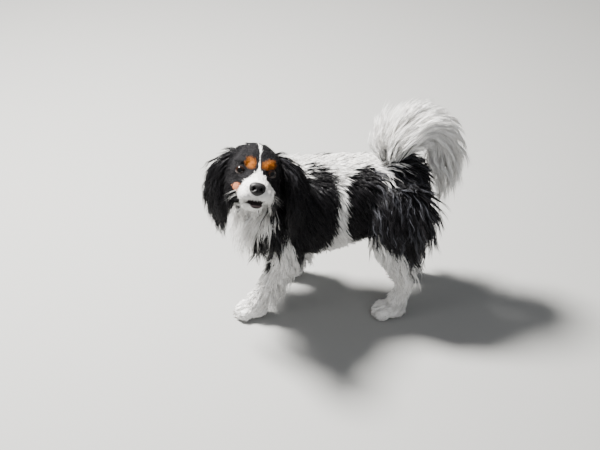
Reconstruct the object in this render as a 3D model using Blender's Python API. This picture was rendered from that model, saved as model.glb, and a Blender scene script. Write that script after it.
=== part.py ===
"""A tricolour cavalier king charles spaniel, life size, standing with its head turned to its left.

Metres, +Z up. The nose of the straight dog would point to -X, and its left side is at -Y.
The shape is worked out about the middle of the trunk, and at the end everything is moved so
that the origin is the bottom centre of the whole figure's box.
"""

import math

import bmesh
import bpy
import numpy as np
from mathutils import Matrix, Vector
from mathutils.bvhtree import BVHTree

# Driving sizes
TRUNK_HALF_WIDTH = 0.076  # widest half of the ribcage with its coat
LEG_SPREAD = 0.058  # from the middle of the dog to the middle of each paw
ELBOW_SPREAD = 0.052  # the same at the elbows and above
ELBOW_HEIGHT = 0.18
HIP_SPREAD = 0.046  # the same at the hips
HIP_HEIGHT = 0.26
HIP_RUN = 0.06  # the hind legs reach their full spread this far below the hips
HEAD_YAW = 100.0  # how far the head is turned to the dog's left, in degrees
HEAD_PITCH = 30.0  # how far it looks up
HEAD_ROLL = -13.0  # how far its left side is dropped
HEAD_AT = (-0.147, -0.085, 0.309)  # middle of the skull
GAP = 0.0003  # between pieces that meet face to face

# How each skin is made from its forms: size of a cell, rounds of smoothing, triangles kept.
BODY_SKIN = (0.0058, 5, 2300)
HEAD_SKIN = (0.0022, 12, 2100)
PAW_SKIN = (0.0030, 2, 250)
TAIL_SKIN = (0.0045, 2, 520)
SHARP_EDGE = math.radians(50)

# Rows along a body part: x, y, z of its middle, half width, reach to the front or top,
# reach to the back or bottom.
TRUNK = (
    # x, top, bottom, half width as a share of the widest
    (-0.160, 0.208, 0.168, 0.24),
    (-0.149, 0.236, 0.138, 0.56),
    (-0.125, 0.266, 0.115, 0.80),
    (-0.095, 0.284, 0.106, 0.93),
    (-0.060, 0.293, 0.103, 0.99),
    (-0.020, 0.296, 0.109, 1.00),
    (0.020, 0.297, 0.125, 0.96),
    (0.060, 0.298, 0.140, 0.91),
    (0.095, 0.295, 0.148, 0.88),
    (0.125, 0.283, 0.160, 0.76),
    (0.145, 0.262, 0.177, 0.56),
    (0.156, 0.238, 0.200, 0.25),
)
NECK = (
    (-0.088, 0.000, 0.225, 0.062, 0.058, 0.062),
    (-0.118, -0.014, 0.252, 0.056, 0.046, 0.056),
    (-0.139, -0.038, 0.280, 0.050, 0.042, 0.052),
    (-0.146, -0.066, 0.302, 0.045, 0.042, 0.048),
    (-0.147, -0.088, 0.309, 0.038, 0.036, 0.040),
)
# The legs: x, height, half width, reach to the front, reach to the back. The near side is the left.
FORELEG = {
    "left": (
        (-0.104, 0.225, 0.020, 0.026, 0.026),
        (-0.108, 0.200, 0.030, 0.040, 0.040),
        (-0.098, 0.165, 0.030, 0.036, 0.034),
        (-0.098, 0.135, 0.024, 0.027, 0.026),
        (-0.112, 0.100, 0.020, 0.022, 0.021),
        (-0.128, 0.064, 0.018, 0.019, 0.019),
        (-0.138, 0.040, 0.018, 0.019, 0.018),
        (-0.147, 0.022, 0.017, 0.017, 0.017),
    ),
    "right": (
        (-0.104, 0.225, 0.020, 0.026, 0.026),
        (-0.108, 0.200, 0.030, 0.040, 0.040),
        (-0.092, 0.165, 0.030, 0.036, 0.034),
        (-0.080, 0.135, 0.024, 0.027, 0.026),
        (-0.077, 0.100, 0.020, 0.022, 0.021),
        (-0.077, 0.064, 0.018, 0.019, 0.019),
        (-0.078, 0.040, 0.018, 0.019, 0.018),
        (-0.083, 0.022, 0.017, 0.017, 0.017),
    ),
}
HINDLEG = (
    (0.096, 0.262, 0.022, 0.030, 0.030),
    (0.100, 0.235, 0.034, 0.056, 0.050),
    (0.096, 0.200, 0.036, 0.062, 0.054),
    (0.084, 0.168, 0.030, 0.044, 0.044),
    (0.079, 0.142, 0.024, 0.028, 0.032),
    (0.092, 0.112, 0.020, 0.021, 0.022),
    (0.107, 0.082, 0.0175, 0.018, 0.019),
    (0.106, 0.055, 0.0165, 0.0165, 0.0165),
    (0.102, 0.036, 0.017, 0.017, 0.016),
    (0.098, 0.020, 0.017, 0.018, 0.016),
)
# The right hind leg stands this much further back, all of it below the first height and
# none above the second.
RIGHT_HIND_BACK = 0.034
BACK_HEIGHTS = (0.08, 0.17)
FORE_PAW_X = {"left": -0.155, "right": -0.092}
HIND_PAW_X = 0.088
PAW_LENGTH = 0.064
PAW_WIDTH = 0.048
PAW_HEIGHT = 0.036
PAW_TOP = 0.034  # the leg meets the paw at this height
TOES = 4
TOE_SIZE = (0.0125, 0.0066, 0.0122)
TOE_FAN = 0.5

# Where the legs leave the trunk: middle of the round top x, z, its radius, and how far out.
# Below the knee height the space of a leg is wider.
SHOULDER_CUT = (-0.104, 0.187, 0.055, 0.044)
HIP_CUT = (0.100, 0.196, 0.082, 0.038)

CELL_KNEE = 0.112
CELL_SPREAD = 0.030
CELL_FLOOR = -0.05
CELL_SIDE = 0.2

NECK_CUT_AT = (-0.116, -0.012, 0.252)
NECK_CUT_NORMAL = (-0.55, -0.30, 0.78)
HEAD_CUT_AT = (-0.146, -0.058, 0.298)
HEAD_CUT_NORMAL = (-0.10, -0.90, 0.42)

# The tail's middle line, and the radius of its core: bone, flesh and the dense inner coat.
TAIL = (
    (0.080, 0.000, 0.266, 0.020),
    (0.078, 0.000, 0.300, 0.022),
    (0.090, 0.003, 0.334, 0.023),
    (0.118, 0.010, 0.355, 0.023),
    (0.150, 0.019, 0.352, 0.020),
    (0.169, 0.028, 0.330, 0.019),
    (0.181, 0.034, 0.296, 0.017),
    (0.187, 0.038, 0.262, 0.013),
    (0.188, 0.040, 0.236, 0.006),
)
TAIL_CUTS = (0.36, 0.68)  # shares of the tail's length where its three nodes meet

# The dense inner coat, half way out to the tips of the long hair, along the front of the chest:
# x, y, z, half width, reach to the front, reach to the back.
BIB = (
    (-0.148, -0.060, 0.266, 0.030, 0.014, 0.020),
    (-0.156, -0.042, 0.230, 0.040, 0.016, 0.024),
    (-0.156, -0.026, 0.185, 0.042, 0.018, 0.026),
    (-0.148, -0.022, 0.145, 0.034, 0.016, 0.026),
    (-0.140, -0.022, 0.118, 0.016, 0.009, 0.014),
)
# Behind the thighs: x, distance from the middle, z, half width, reach to the back, to the front.
BREECHES = (
    (0.128, 0.036, 0.260, 0.018, 0.014, 0.020),
    (0.140, 0.043, 0.225, 0.026, 0.021, 0.030),
    (0.140, 0.050, 0.182, 0.026, 0.021, 0.040),
    (0.130, 0.054, 0.150, 0.020, 0.016, 0.034),
    (0.120, 0.056, 0.126, 0.009, 0.007, 0.014),
)
# Behind the forearms: distance behind the leg's own middle line, z, half width, half depth.
FORE_FEATHER = (
    (0.012, 0.138, 0.011, 0.014),
    (0.020, 0.112, 0.012, 0.016),
    (0.020, 0.086, 0.011, 0.014),
    (0.014, 0.062, 0.006, 0.009),
)

# The head, in its own frame: x forward, y left, z up.
SKULL = (
    # x, top, bottom, half width
    (-0.064, 0.022, -0.002, 0.012),
    (-0.055, 0.036, -0.018, 0.027),
    (-0.036, 0.048, -0.034, 0.040),
    (-0.010, 0.053, -0.043, 0.0455),
    (0.010, 0.051, -0.047, 0.0435),
    (0.022, 0.043, -0.048, 0.038),
    (0.031, 0.027, -0.048, 0.031),
    (0.040, 0.009, -0.046, 0.026),
    (0.052, 0.001, -0.041, 0.0225),
    (0.063, -0.003, -0.036, 0.0195),
    (0.071, -0.009, -0.031, 0.0125),
)
LIP_AT = (0.051, 0.0135, -0.0265)
LIP_SIZE = (0.0215, 0.0140, 0.0145)
CHEEK_AT = (0.006, 0.027, -0.017)
CHEEK_SIZE = (0.028, 0.0185, 0.025)
BROW_AT = (0.021, 0.019, 0.024)
BROW_SIZE = (0.014, 0.015, 0.010)
JAW_ROWS = (
    (0.000, -0.041, 0.018, 0.012),
    (0.025, -0.044, 0.0175, 0.0105),
    (0.045, -0.0435, 0.0155, 0.0092),
    (0.058, -0.0415, 0.0120, 0.0080),
    (0.065, -0.0395, 0.0060, 0.0045),
)
MOUTH_LINE = ((0.090, -0.0372), (0.060, -0.0378), (0.044, -0.0395), (0.030, -0.0440))
MOUTH_CORNER_X = 0.024
MOUTH_DROP = 0.010
MOUTH_SLIT = 0.0012
JAW_SPACE = 0.09
NOSE_AT = (0.0690, 0.0, -0.0155)
NOSE_SIZE = (0.0098, 0.0126, 0.0098)
NOSTRIL_AT = (0.0772, 0.0058, -0.0165)
NOSTRIL_SIZE = (0.0050, 0.0026, 0.0022)
EYE_AT = (0.0245, 0.0237, 0.0085)
EYE_RADIUS = 0.0104
EYE_OUTWARD = 16.0  # degrees that each eye looks to its own side
LID_RADIUS = 0.0016
LID_HEAVY = 1.25  # the upper lid's thickness over the lower lid's
LID_REACH = (0.86, 0.60, 0.88)  # the rim's place: from the eye's axis, forward, and how far closed
LID_DEPTH = 1.3
LID_SEGMENTS = 18
LID_SIDES = 5

# Ears: x, y, z of the middle line, half width of the flap, half thickness with the inner coat.
EARS = {
    "right": (
        (-0.172, -0.058, 0.330, 0.011, 0.0060),
        (-0.188, -0.062, 0.330, 0.018, 0.0080),
        (-0.203, -0.069, 0.316, 0.025, 0.0090),
        (-0.210, -0.076, 0.288, 0.028, 0.0095),
        (-0.210, -0.081, 0.258, 0.026, 0.0090),
        (-0.206, -0.084, 0.232, 0.018, 0.0070),
        (-0.204, -0.086, 0.216, 0.008, 0.0045),
    ),
    "left": (
        (-0.114, -0.052, 0.317, 0.011, 0.0060),
        (-0.098, -0.056, 0.316, 0.018, 0.0080),
        (-0.082, -0.064, 0.302, 0.025, 0.0090),
        (-0.074, -0.073, 0.275, 0.028, 0.0095),
        (-0.074, -0.081, 0.246, 0.026, 0.0090),
        (-0.078, -0.085, 0.220, 0.018, 0.0070),
        (-0.080, -0.087, 0.205, 0.008, 0.0045),
    ),
}
EAR_FORWARD = 0.75  # how much the flap's outer face looks to the front
EAR_CUP = 0.55  # how deep the inner face of the flap is hollowed, as a share of its half thickness

# A flat lock of hair: shares of its length where it has a ring, and of its width there.
LOCK_RINGS = (0.0, 0.26, 0.54, 0.80)
LOCK_SHAPE = (0.95, 1.00, 0.80, 0.46)
LOCK_FLATNESS = 0.26  # thickness as a share of the width
LOCK_ROOM = 0.0008  # left round a lock that passes another piece
LOCK_OVER = 0.0020  # how high a lock lies over another piece
LOCK_TRIES = 6
LOCK_RISE = 2.2  # how steeply a lock leaves the skin
LOCK_WAVES = 5.0  # radians of sideways wave along a lock
LOCK_FLIP = 0.3  # cosine above which a lock turns to face out with the skin under it
LOCK_SHORTER = 0.93  # each new try at a lock is this much shorter
LOCK_HIGHER = 0.0025  # and stands off this much more
LOCK_STRAIGHT = 0.62  # cosine of the sharpest turn in a lock
FLOOR_ROOM = 0.004
SAME_PLACE = 1e-6
FLAT_ANGLE = math.radians(3.0)
SEED = 11

# Rows of locks. Each row: share of the form's length, first and last angle round it in degrees,
# how many, and the length of its locks.
LOCK_ROWS = {
    "ear": (
        (0.22, 50, 150, 2, 0.050),
        (0.34, 15, 165, 3, 0.056),
        (0.50, 0, 180, 4, 0.058),
        (0.66, -10, 190, 4, 0.054),
        (0.84, -30, 210, 4, 0.046),
        (0.97, -60, 240, 3, 0.036),
    ),
    "bib": (
        (0.10, 35, 145, 2, 0.056),
        (0.32, 30, 150, 3, 0.058),
        (0.56, 25, 155, 3, 0.058),
        (0.80, 15, 165, 4, 0.050),
    ),
    "trunk": (
        (0.35, 135, 205, 2, 0.058),
        (0.35, -25, 45, 2, 0.058),
        (0.44, 145, 232, 3, 0.056),
        (0.44, -52, 35, 3, 0.056),
    ),
    "belly": (
        (0.34, 240, 300, 2, 0.044),
        (0.46, 236, 304, 3, 0.042),
        (0.58, 238, 302, 3, 0.034),
    ),
    "rump": (
        (0.86, 60, 120, 2, 0.046),
        (0.95, 20, 160, 3, 0.044),
    ),
    "neck": (
        (0.45, 20, 160, 2, 0.050),
        (0.72, 165, 375, 3, 0.046),
    ),
    "fore_top": (
        (0.22, -60, 60, 2, 0.058),
        (0.44, -65, 65, 3, 0.052),
    ),
    "fore_feather": (
        (0.10, 225, 315, 2, 0.050),
        (0.45, 230, 310, 3, 0.044),
        (0.85, 240, 300, 2, 0.032),
    ),
    "thigh": (
        (0.18, -60, 60, 3, 0.058),
        (0.33, -75, 75, 3, 0.056),
        (0.48, -80, 80, 3, 0.044),
    ),
    "breeches": (
        (0.14, 15, 165, 3, 0.060),
        (0.46, 5, 175, 3, 0.062),
        (0.80, 10, 170, 3, 0.048),
    ),
    "tail_root": (
        (0.15, 0, 360, 5, 0.058),
        (0.27, 36, 396, 6, 0.064),
    ),
    "tail_arch": (
        (0.38, 0, 360, 6, 0.066),
        (0.48, 30, 390, 6, 0.066),
        (0.58, 0, 360, 5, 0.064),
    ),
    "tail_plume": (
        (0.70, 36, 396, 5, 0.062),
        (0.82, 0, 360, 5, 0.058),
        (0.96, 36, 396, 4, 0.050),
    ),
}
# How each coat lies: along this direction, with how much of the form's own direction, how far its
# tips stand off, how much it strays and waves, and its locks' width.
LOCK_LIE = {
    "ear": ((0.0, 0.0, -0.70), 0.60, 0.007, 0.16, 0.0170),
    "bib": ((-0.05, 0.0, -1.0), 0.0, 0.010, 0.18, 0.0190),
    "trunk": ((0.45, 0.0, -0.90), 0.0, 0.004, 0.18, 0.0240),
    "belly": ((0.40, 0.0, -0.92), 0.0, 0.008, 0.18, 0.0190),
    "rump": ((0.70, 0.0, -0.70), 0.0, 0.007, 0.14, 0.0200),
    "neck": ((0.40, 0.10, -0.90), 0.0, 0.008, 0.16, 0.0180),
    "fore_top": ((0.15, 0.0, -1.0), 0.0, 0.006, 0.14, 0.0180),
    "fore_feather": ((0.50, 0.0, -0.86), 0.0, 0.010, 0.16, 0.0150),
    "thigh": ((0.45, 0.0, -0.88), 0.0, 0.006, 0.22, 0.0200),
    "breeches": ((0.35, 0.0, -0.94), 0.0, 0.011, 0.16, 0.0185),
    "tail_root": ((0.0, 0.0, 0.0), 1.0, 0.013, 0.12, 0.0220),
    "tail_arch": ((0.0, 0.0, -0.10), 1.0, 0.014, 0.14, 0.0215),
    "tail_plume": ((0.0, 0.0, -0.15), 1.0, 0.013, 0.16, 0.0200),
}
LOCK_SINK = {"ear": 0.0040, "tail_root": 0.007, "tail_arch": 0.007, "tail_plume": 0.006}
PLAIN_SINK = 0.006

COLOURS = {
    "coat_white": (0.86, 0.84, 0.80),
    "nose_black": (0.015, 0.014, 0.015),
    "eye_brown": (0.022, 0.010, 0.006),
}
ROUGHNESS = {"coat_white": 0.75, "nose_black": 0.40, "eye_brown": 0.08}


def clear_scene():
    for obj in list(bpy.data.objects):
        bpy.data.objects.remove(obj)


def head_matrix():
    """The head's own frame in the body's frame."""
    yaw, pitch, roll = (math.radians(v) for v in (HEAD_YAW, HEAD_PITCH, HEAD_ROLL))
    level = math.cos(pitch)
    forward = Vector((-math.cos(yaw) * level, -math.sin(yaw) * level, math.sin(pitch)))
    level_left = Vector((math.sin(yaw), -math.cos(yaw), 0))
    level_up = forward.cross(level_left)
    left = math.cos(roll) * level_left + math.sin(roll) * level_up
    up = forward.cross(left)
    turn = Matrix((forward, left, up)).transposed().to_4x4()
    return Matrix.Translation(HEAD_AT) @ turn


HEAD = head_matrix()


def spline(rows, count):
    """Catmull-Rom curve through the rows, as count rows."""
    rows = np.asarray(rows, float)
    padded = np.vstack((2 * rows[0] - rows[1], rows, 2 * rows[-1] - rows[-2]))
    at = np.linspace(0, len(rows) - 1, count)
    i = np.minimum(at.astype(int), len(rows) - 2)
    t = (at - i)[:, None]
    a, b, c, d = padded[i], padded[i + 1], padded[i + 2], padded[i + 3]
    bend, twist = 2 * a - 5 * b + 4 * c - d, 3 * b - a - 3 * c + d
    return 0.5 * (2 * b + (c - a) * t + bend * t**2 + twist * t**3)


def unit(v):
    return v / np.maximum(np.linalg.norm(v, axis=-1, keepdims=True), 1e-9)


class Tube:
    """A round or flat body part: a ring of given reach carried along a smooth middle line."""

    def __init__(self, rows, rings, sides, up, cup=0.0, square_to=None):
        """The rings are square to the middle line, or all of them to one direction."""
        self.rows = spline(rows, rings)
        self.middle = self.rows[:, :3]
        along = unit(np.gradient(self.middle, axis=0))
        if square_to:
            along = np.tile(square_to, (rings, 1)).astype(float)
        self.along = along
        self.across = unit(np.cross(np.asarray(up, float), along))
        self.up = np.cross(along, self.across)
        self.sides = sides
        self.cup = cup

    def point(self, s, angle):
        """(place, outward direction, direction along) at a share s of the length and an angle."""
        k = min(1.0, max(0.0, s)) * (len(self.middle) - 1)
        i = min(int(k), len(self.middle) - 2)
        t = k - i
        middle, across, up, along = (
            a[i] * (1 - t) + a[i + 1] * t for a in (self.middle, self.across, self.up, self.along)
        )
        half, front, back = (self.rows[i] * (1 - t) + self.rows[i + 1] * t)[3:6]
        c, n = math.cos(angle), math.sin(angle)
        reach = front if n > 0 else back
        place = middle + across * half * c + up * reach * n
        outward = across * c / max(half, 1e-6) + up * n / max(reach, 1e-6)
        return Vector(place), Vector(outward).normalized(), Vector(along).normalized()

    def mesh(self):
        angle = np.linspace(0, 2 * math.pi, self.sides, endpoint=False)
        c, n = np.cos(angle)[None, :, None], np.sin(angle)[None, :, None]
        half, front, back = (self.rows[:, k][:, None, None] for k in (3, 4, 5))
        hollow = 1 - self.cup * np.abs(n) ** 3
        reach = np.where(n > 0, front * n, back * n * hollow)
        rings = self.middle[:, None] + self.across[:, None] * half * c + self.up[:, None] * reach
        points = np.vstack((rings.reshape(-1, 3), self.middle[:1], self.middle[-1:]))
        count, sides = len(self.middle), self.sides
        first, last = count * sides, count * sides + 1
        faces = []
        for r in range(count - 1):
            for s in range(sides):
                n2 = (s + 1) % sides
                faces.append((r * sides + s, r * sides + n2, (r + 1) * sides + n2, (r + 1) * sides + s))
        for s in range(sides):
            n2 = (s + 1) % sides
            faces.append((first, n2, s))
            faces.append((last, (count - 1) * sides + s, (count - 1) * sides + n2))
        return points, faces


def new_object(name, points, faces, matrix=None):
    mesh = bpy.data.meshes.new(name)
    mesh.from_pydata([tuple(p) for p in points], [], [tuple(f) for f in faces])
    if matrix:
        mesh.transform(matrix)
    obj = bpy.data.objects.new(name, mesh)
    bpy.context.scene.collection.objects.link(obj)
    outward(obj)
    return obj


def outward(obj):
    bm = bmesh.new()
    bm.from_mesh(obj.data)
    bmesh.ops.recalc_face_normals(bm, faces=bm.faces)
    bm.to_mesh(obj.data)
    bm.free()


def ellipsoid(name, at, size, matrix=None, rings=10, sides=14, turn=None):
    """A ball of three radii."""
    bm = bmesh.new()
    bmesh.ops.create_uvsphere(bm, u_segments=sides, v_segments=rings, radius=1.0)
    place = Matrix.Translation(at) @ (turn or Matrix.Identity(4)) @ Matrix.Diagonal((*size, 1.0))
    bm.transform(matrix @ place if matrix else place)
    mesh = bpy.data.meshes.new(name)
    bm.to_mesh(mesh)
    bm.free()
    obj = bpy.data.objects.new(name, mesh)
    bpy.context.scene.collection.objects.link(obj)
    return obj


def apply_modifiers(obj):
    """Puts the evaluated mesh in the object's place."""
    graph = bpy.context.evaluated_depsgraph_get()
    mesh = bpy.data.meshes.new_from_object(obj.evaluated_get(graph))
    obj.modifiers.clear()
    obj.data = mesh


def joined(name, objects):
    """One object that holds the meshes of several, which are removed."""
    bm = bmesh.new()
    for obj in objects:
        bm.from_mesh(obj.data)
        bpy.data.objects.remove(obj)
    mesh = bpy.data.meshes.new(name)
    bm.to_mesh(mesh)
    bm.free()
    obj = bpy.data.objects.new(name, mesh)
    bpy.context.scene.collection.objects.link(obj)
    return obj


def blended(name, objects, skin):
    """Several overlapping forms as one smooth skin of about so many triangles."""
    voxel, smoothing, triangles = skin
    obj = joined(name, objects)
    remesh = obj.modifiers.new("remesh", "REMESH")
    remesh.mode = "VOXEL"
    remesh.voxel_size = voxel
    smooth = obj.modifiers.new("smooth", "SMOOTH")
    smooth.factor = 0.5
    smooth.iterations = smoothing
    apply_modifiers(obj)
    obj.data.calc_loop_triangles()
    decimate = obj.modifiers.new("decimate", "DECIMATE")
    decimate.ratio = min(1.0, triangles / len(obj.data.loop_triangles))
    decimate.use_collapse_triangulate = True
    apply_modifiers(obj)
    return obj


def largest_surface(obj):
    """Keeps only the biggest closed surface of the object."""
    bm = bmesh.new()
    bm.from_mesh(obj.data)
    bm.faces.ensure_lookup_table()
    seen, islands = set(), []
    for face in bm.faces:
        if face.index in seen:
            continue
        seen.add(face.index)
        island, stack = [], [face]
        while stack:
            f = stack.pop()
            island.append(f)
            for edge in f.edges:
                for other in edge.link_faces:
                    if other.index not in seen:
                        seen.add(other.index)
                        stack.append(other)
        islands.append(island)
    islands.sort(key=lambda island: -sum(f.calc_area() for f in island))
    for island in islands[1:]:
        bmesh.ops.delete(bm, geom=island, context="FACES")
    loose = [v for v in bm.verts if not v.link_faces]
    bmesh.ops.delete(bm, geom=loose, context="VERTS")
    bm.to_mesh(obj.data)
    bm.free()


def boolean(obj, operation, other=None, collection=None):
    modifier = obj.modifiers.new("boolean", "BOOLEAN")
    modifier.operation = operation
    modifier.solver = "EXACT"
    if collection:
        modifier.operand_type = "COLLECTION"
        modifier.collection = collection
    else:
        modifier.object = other
    apply_modifiers(obj)
    triangulate(obj)


def triangulate(obj):
    bm = bmesh.new()
    bm.from_mesh(obj.data)
    bmesh.ops.triangulate(bm, faces=bm.faces)
    bm.to_mesh(obj.data)
    bm.free()


def grown(obj, by):
    """A copy of the object with its skin pushed out along its normals."""
    copy = obj.copy()
    copy.data = obj.data.copy()
    bpy.context.scene.collection.objects.link(copy)
    normals = np.array([v.normal for v in copy.data.vertices])
    places = np.array([v.co for v in copy.data.vertices])
    copy.data.vertices.foreach_set("co", (places + normals * by).ravel())
    return copy


def cut_by(obj, other, gap=GAP):
    """Takes the other piece out of obj, with the gap between them."""
    tool = grown(obj=other, by=gap)
    boolean(obj, "DIFFERENCE", tool)
    bpy.data.objects.remove(tool)
    largest_surface(obj)


def copied(obj, name):
    copy = obj.copy()
    copy.data = obj.data.copy()
    copy.name = name
    bpy.context.scene.collection.objects.link(copy)
    return copy


def sliced(obj, at, normal, keep_above, gap=GAP):
    """Keeps one side of a plane and closes the cut. Half the gap is taken from each side."""
    normal = Vector(normal).normalized()
    point = Vector(at) + normal * (gap / 2 if keep_above else -gap / 2)
    bm = bmesh.new()
    bm.from_mesh(obj.data)
    geometry = bm.verts[:] + bm.edges[:] + bm.faces[:]
    cut = bmesh.ops.bisect_plane(
        bm,
        geom=geometry,
        plane_co=point,
        plane_no=normal,
        clear_inner=keep_above,
        clear_outer=not keep_above,
    )
    edges = [e for e in cut["geom_cut"] if isinstance(e, bmesh.types.BMEdge)]
    bmesh.ops.holes_fill(bm, edges=edges)
    bmesh.ops.triangulate(bm, faces=bm.faces)
    bm.to_mesh(obj.data)
    bm.free()
    largest_surface(obj)


def prism(name, outline, low, high, matrix=None):
    """An outline in x and z, carried from one y to another."""
    count = len(outline)
    points = [(x, low, z) for x, z in outline] + [(x, high, z) for x, z in outline]
    faces = [tuple(range(count)), tuple(range(2 * count - 1, count - 1, -1))]
    faces += [(i, (i + 1) % count, (i + 1) % count + count, i + count) for i in range(count)]
    return new_object(name, points, faces, matrix)


def leg_cell(name, cut, side, inset):
    """The space that a leg takes out of the body: round above, straight below, outside a plane."""
    x, z, radius, out = cut
    radius -= inset
    arc = [(x + radius * math.cos(a), z + radius * math.sin(a)) for a in np.linspace(0, math.pi, 17)]
    wide = radius + CELL_SPREAD
    outline = arc + [(x - wide, CELL_KNEE), (x - wide, CELL_FLOOR)]
    outline += [(x + wide, CELL_FLOOR), (x + wide, CELL_KNEE)]
    near = out + inset
    low, high = (-CELL_SIDE, -near) if side == "left" else (near, CELL_SIDE)
    return prism(name, outline, low, high)


def side_sign(side):
    return -1 if side == "left" else 1


def trunk_tube():
    rows = [
        (x, 0, (top + low) / 2, TRUNK_HALF_WIDTH * share, (top - low) / 2, (top - low) / 2)
        for x, top, low, share in TRUNK
    ]
    return Tube(rows, 30, 24, (0, 0, 1), square_to=(1, 0, 0))


def foreleg_tube(side):
    sign = side_sign(side)
    rows = [
        (x, sign * (ELBOW_SPREAD if z > ELBOW_HEIGHT else LEG_SPREAD), z, half, front, back)
        for x, z, half, front, back in FORELEG[side]
    ]
    return Tube(rows, 18, 14, (-1, 0, 0))


def hindleg_tube(side):
    sign = side_sign(side)
    shift = RIGHT_HIND_BACK if side == "right" else 0
    rows = []
    for x, z, half, front, back in HINDLEG:
        y = np.interp(z, (HIP_HEIGHT - HIP_RUN, HIP_HEIGHT), (LEG_SPREAD, HIP_SPREAD))
        moved = x + np.interp(z, BACK_HEIGHTS, (shift, 0))
        rows.append((moved, sign * y, z, half, front, back))
    return Tube(rows, 24, 14, (-1, 0, 0))


def neck_tube():
    return Tube(NECK, 14, 20, (0, 0, 1))


def bib_tube():
    return Tube(BIB, 18, 16, (-1, 0, 0))


def breeches_tube(side):
    sign = side_sign(side)
    return Tube([(x, sign * y, *rest) for x, y, *rest in BREECHES], 16, 12, (1, 0, 0))


def fore_feather_tube(side):
    """The fringe behind a forearm follows that leg's middle line."""
    heights, middles = [row[1] for row in FORELEG[side]], [row[0] for row in FORELEG[side]]
    rows = []
    for behind, z, half, deep in FORE_FEATHER:
        x = float(np.interp(-z, [-h for h in heights], middles)) + behind
        rows.append((x, side_sign(side) * LEG_SPREAD, z, half, deep, deep))
    return Tube(rows, 12, 10, (-1, 0, 0))


def body_shell():
    """Trunk, neck and legs, with the long coat's core, as one smooth skin."""
    tubes = [trunk_tube(), neck_tube(), bib_tube()]
    for side in ("left", "right"):
        tubes += [foreleg_tube(side), hindleg_tube(side), breeches_tube(side), fore_feather_tube(side)]
    pieces = [new_object(f"form_{i}", *tube.mesh()) for i, tube in enumerate(tubes)]
    return blended("body", pieces, BODY_SKIN)


def head_form():
    """Skull, cheeks, brows, lips, jaw and the top of the neck as one smooth skin."""
    rows = []
    for x, top, low, half in SKULL:
        rows.append((x, 0, (top + low) / 2, half, (top - low) / 2, (top - low) / 2))
    skull = Tube(rows, 30, 26, (0, 0, 1), square_to=(1, 0, 0))
    pieces = [new_object("skull", *skull.mesh(), HEAD)]
    for s in (-1, 1):
        for label, at, size in (
            ("lip", LIP_AT, LIP_SIZE),
            ("cheek", CHEEK_AT, CHEEK_SIZE),
            ("brow", BROW_AT, BROW_SIZE),
        ):
            pieces.append(ellipsoid(label, (at[0], s * at[1], at[2]), size, HEAD))
    jaw_rows = [(x, 0, z, half, deep, deep) for x, z, half, deep in JAW_ROWS]
    pieces.append(new_object("jaw", *Tube(jaw_rows, 12, 16, (0, 0, 1)).mesh(), HEAD))
    pieces.append(new_object("neck_top", *neck_tube().mesh()))
    return blended("head", pieces, HEAD_SKIN)


def jaw_cell(name, inset):
    """The space of the lower jaw: under the line of the mouth, in front of its corners."""
    corner = MOUTH_CORNER_X + inset
    outline = [(x, z - inset) for x, z in MOUTH_LINE]
    outline += [(corner, MOUTH_LINE[-1][1] - MOUTH_DROP), (corner, -JAW_SPACE), (JAW_SPACE, -JAW_SPACE)]
    return prism(name, outline, -JAW_SPACE, JAW_SPACE, HEAD)


def eye_turn(s):
    return Matrix.Rotation(math.radians(s * EYE_OUTWARD), 4, "Z")


def eye(side, s):
    """An eyeball, its poles to the front and the back."""
    at = (EYE_AT[0], s * EYE_AT[1], EYE_AT[2])
    turn = eye_turn(s) @ Matrix.Rotation(math.radians(90), 4, "Y")
    return ellipsoid(f"eye_{side}", at, (EYE_RADIUS,) * 3, HEAD, rings=8, sides=12, turn=turn)


def lid(s):
    """A raised rim round the opening of one eye."""
    aside, forward, closed = LID_REACH
    ring = []
    for i in range(LID_SEGMENTS):
        a = 2 * math.pi * i / LID_SEGMENTS
        thick = LID_RADIUS * (LID_HEAVY if math.sin(a) > 0 else 1.0)
        for k in range(LID_SIDES):
            b = 2 * math.pi * k / LID_SIDES
            radius = EYE_RADIUS * aside + thick * math.cos(b)
            deep = EYE_RADIUS * forward + thick * LID_DEPTH * math.sin(b)
            ring.append((deep, radius * math.cos(a), radius * math.sin(a) * closed))
    faces = []
    for i in range(LID_SEGMENTS):
        first, after = i * LID_SIDES, (i + 1) % LID_SEGMENTS * LID_SIDES
        for k in range(LID_SIDES):
            m = (k + 1) % LID_SIDES
            faces.append((first + k, first + m, after + m, after + k))
    at = Matrix.Translation((EYE_AT[0], s * EYE_AT[1], EYE_AT[2]))
    return new_object("lid", ring, faces, HEAD @ at @ eye_turn(s))


def nose():
    """The nose leather, with its two nostrils."""
    obj = ellipsoid("nose", NOSE_AT, NOSE_SIZE, HEAD, rings=8, sides=14)
    for s in (-1, 1):
        at = (NOSTRIL_AT[0], s * NOSTRIL_AT[1], NOSTRIL_AT[2])
        tool = ellipsoid("nostril", at, NOSTRIL_SIZE, HEAD, rings=6, sides=8)
        boolean(obj, "DIFFERENCE", tool)
        bpy.data.objects.remove(tool)
    largest_surface(obj)
    return obj


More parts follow.
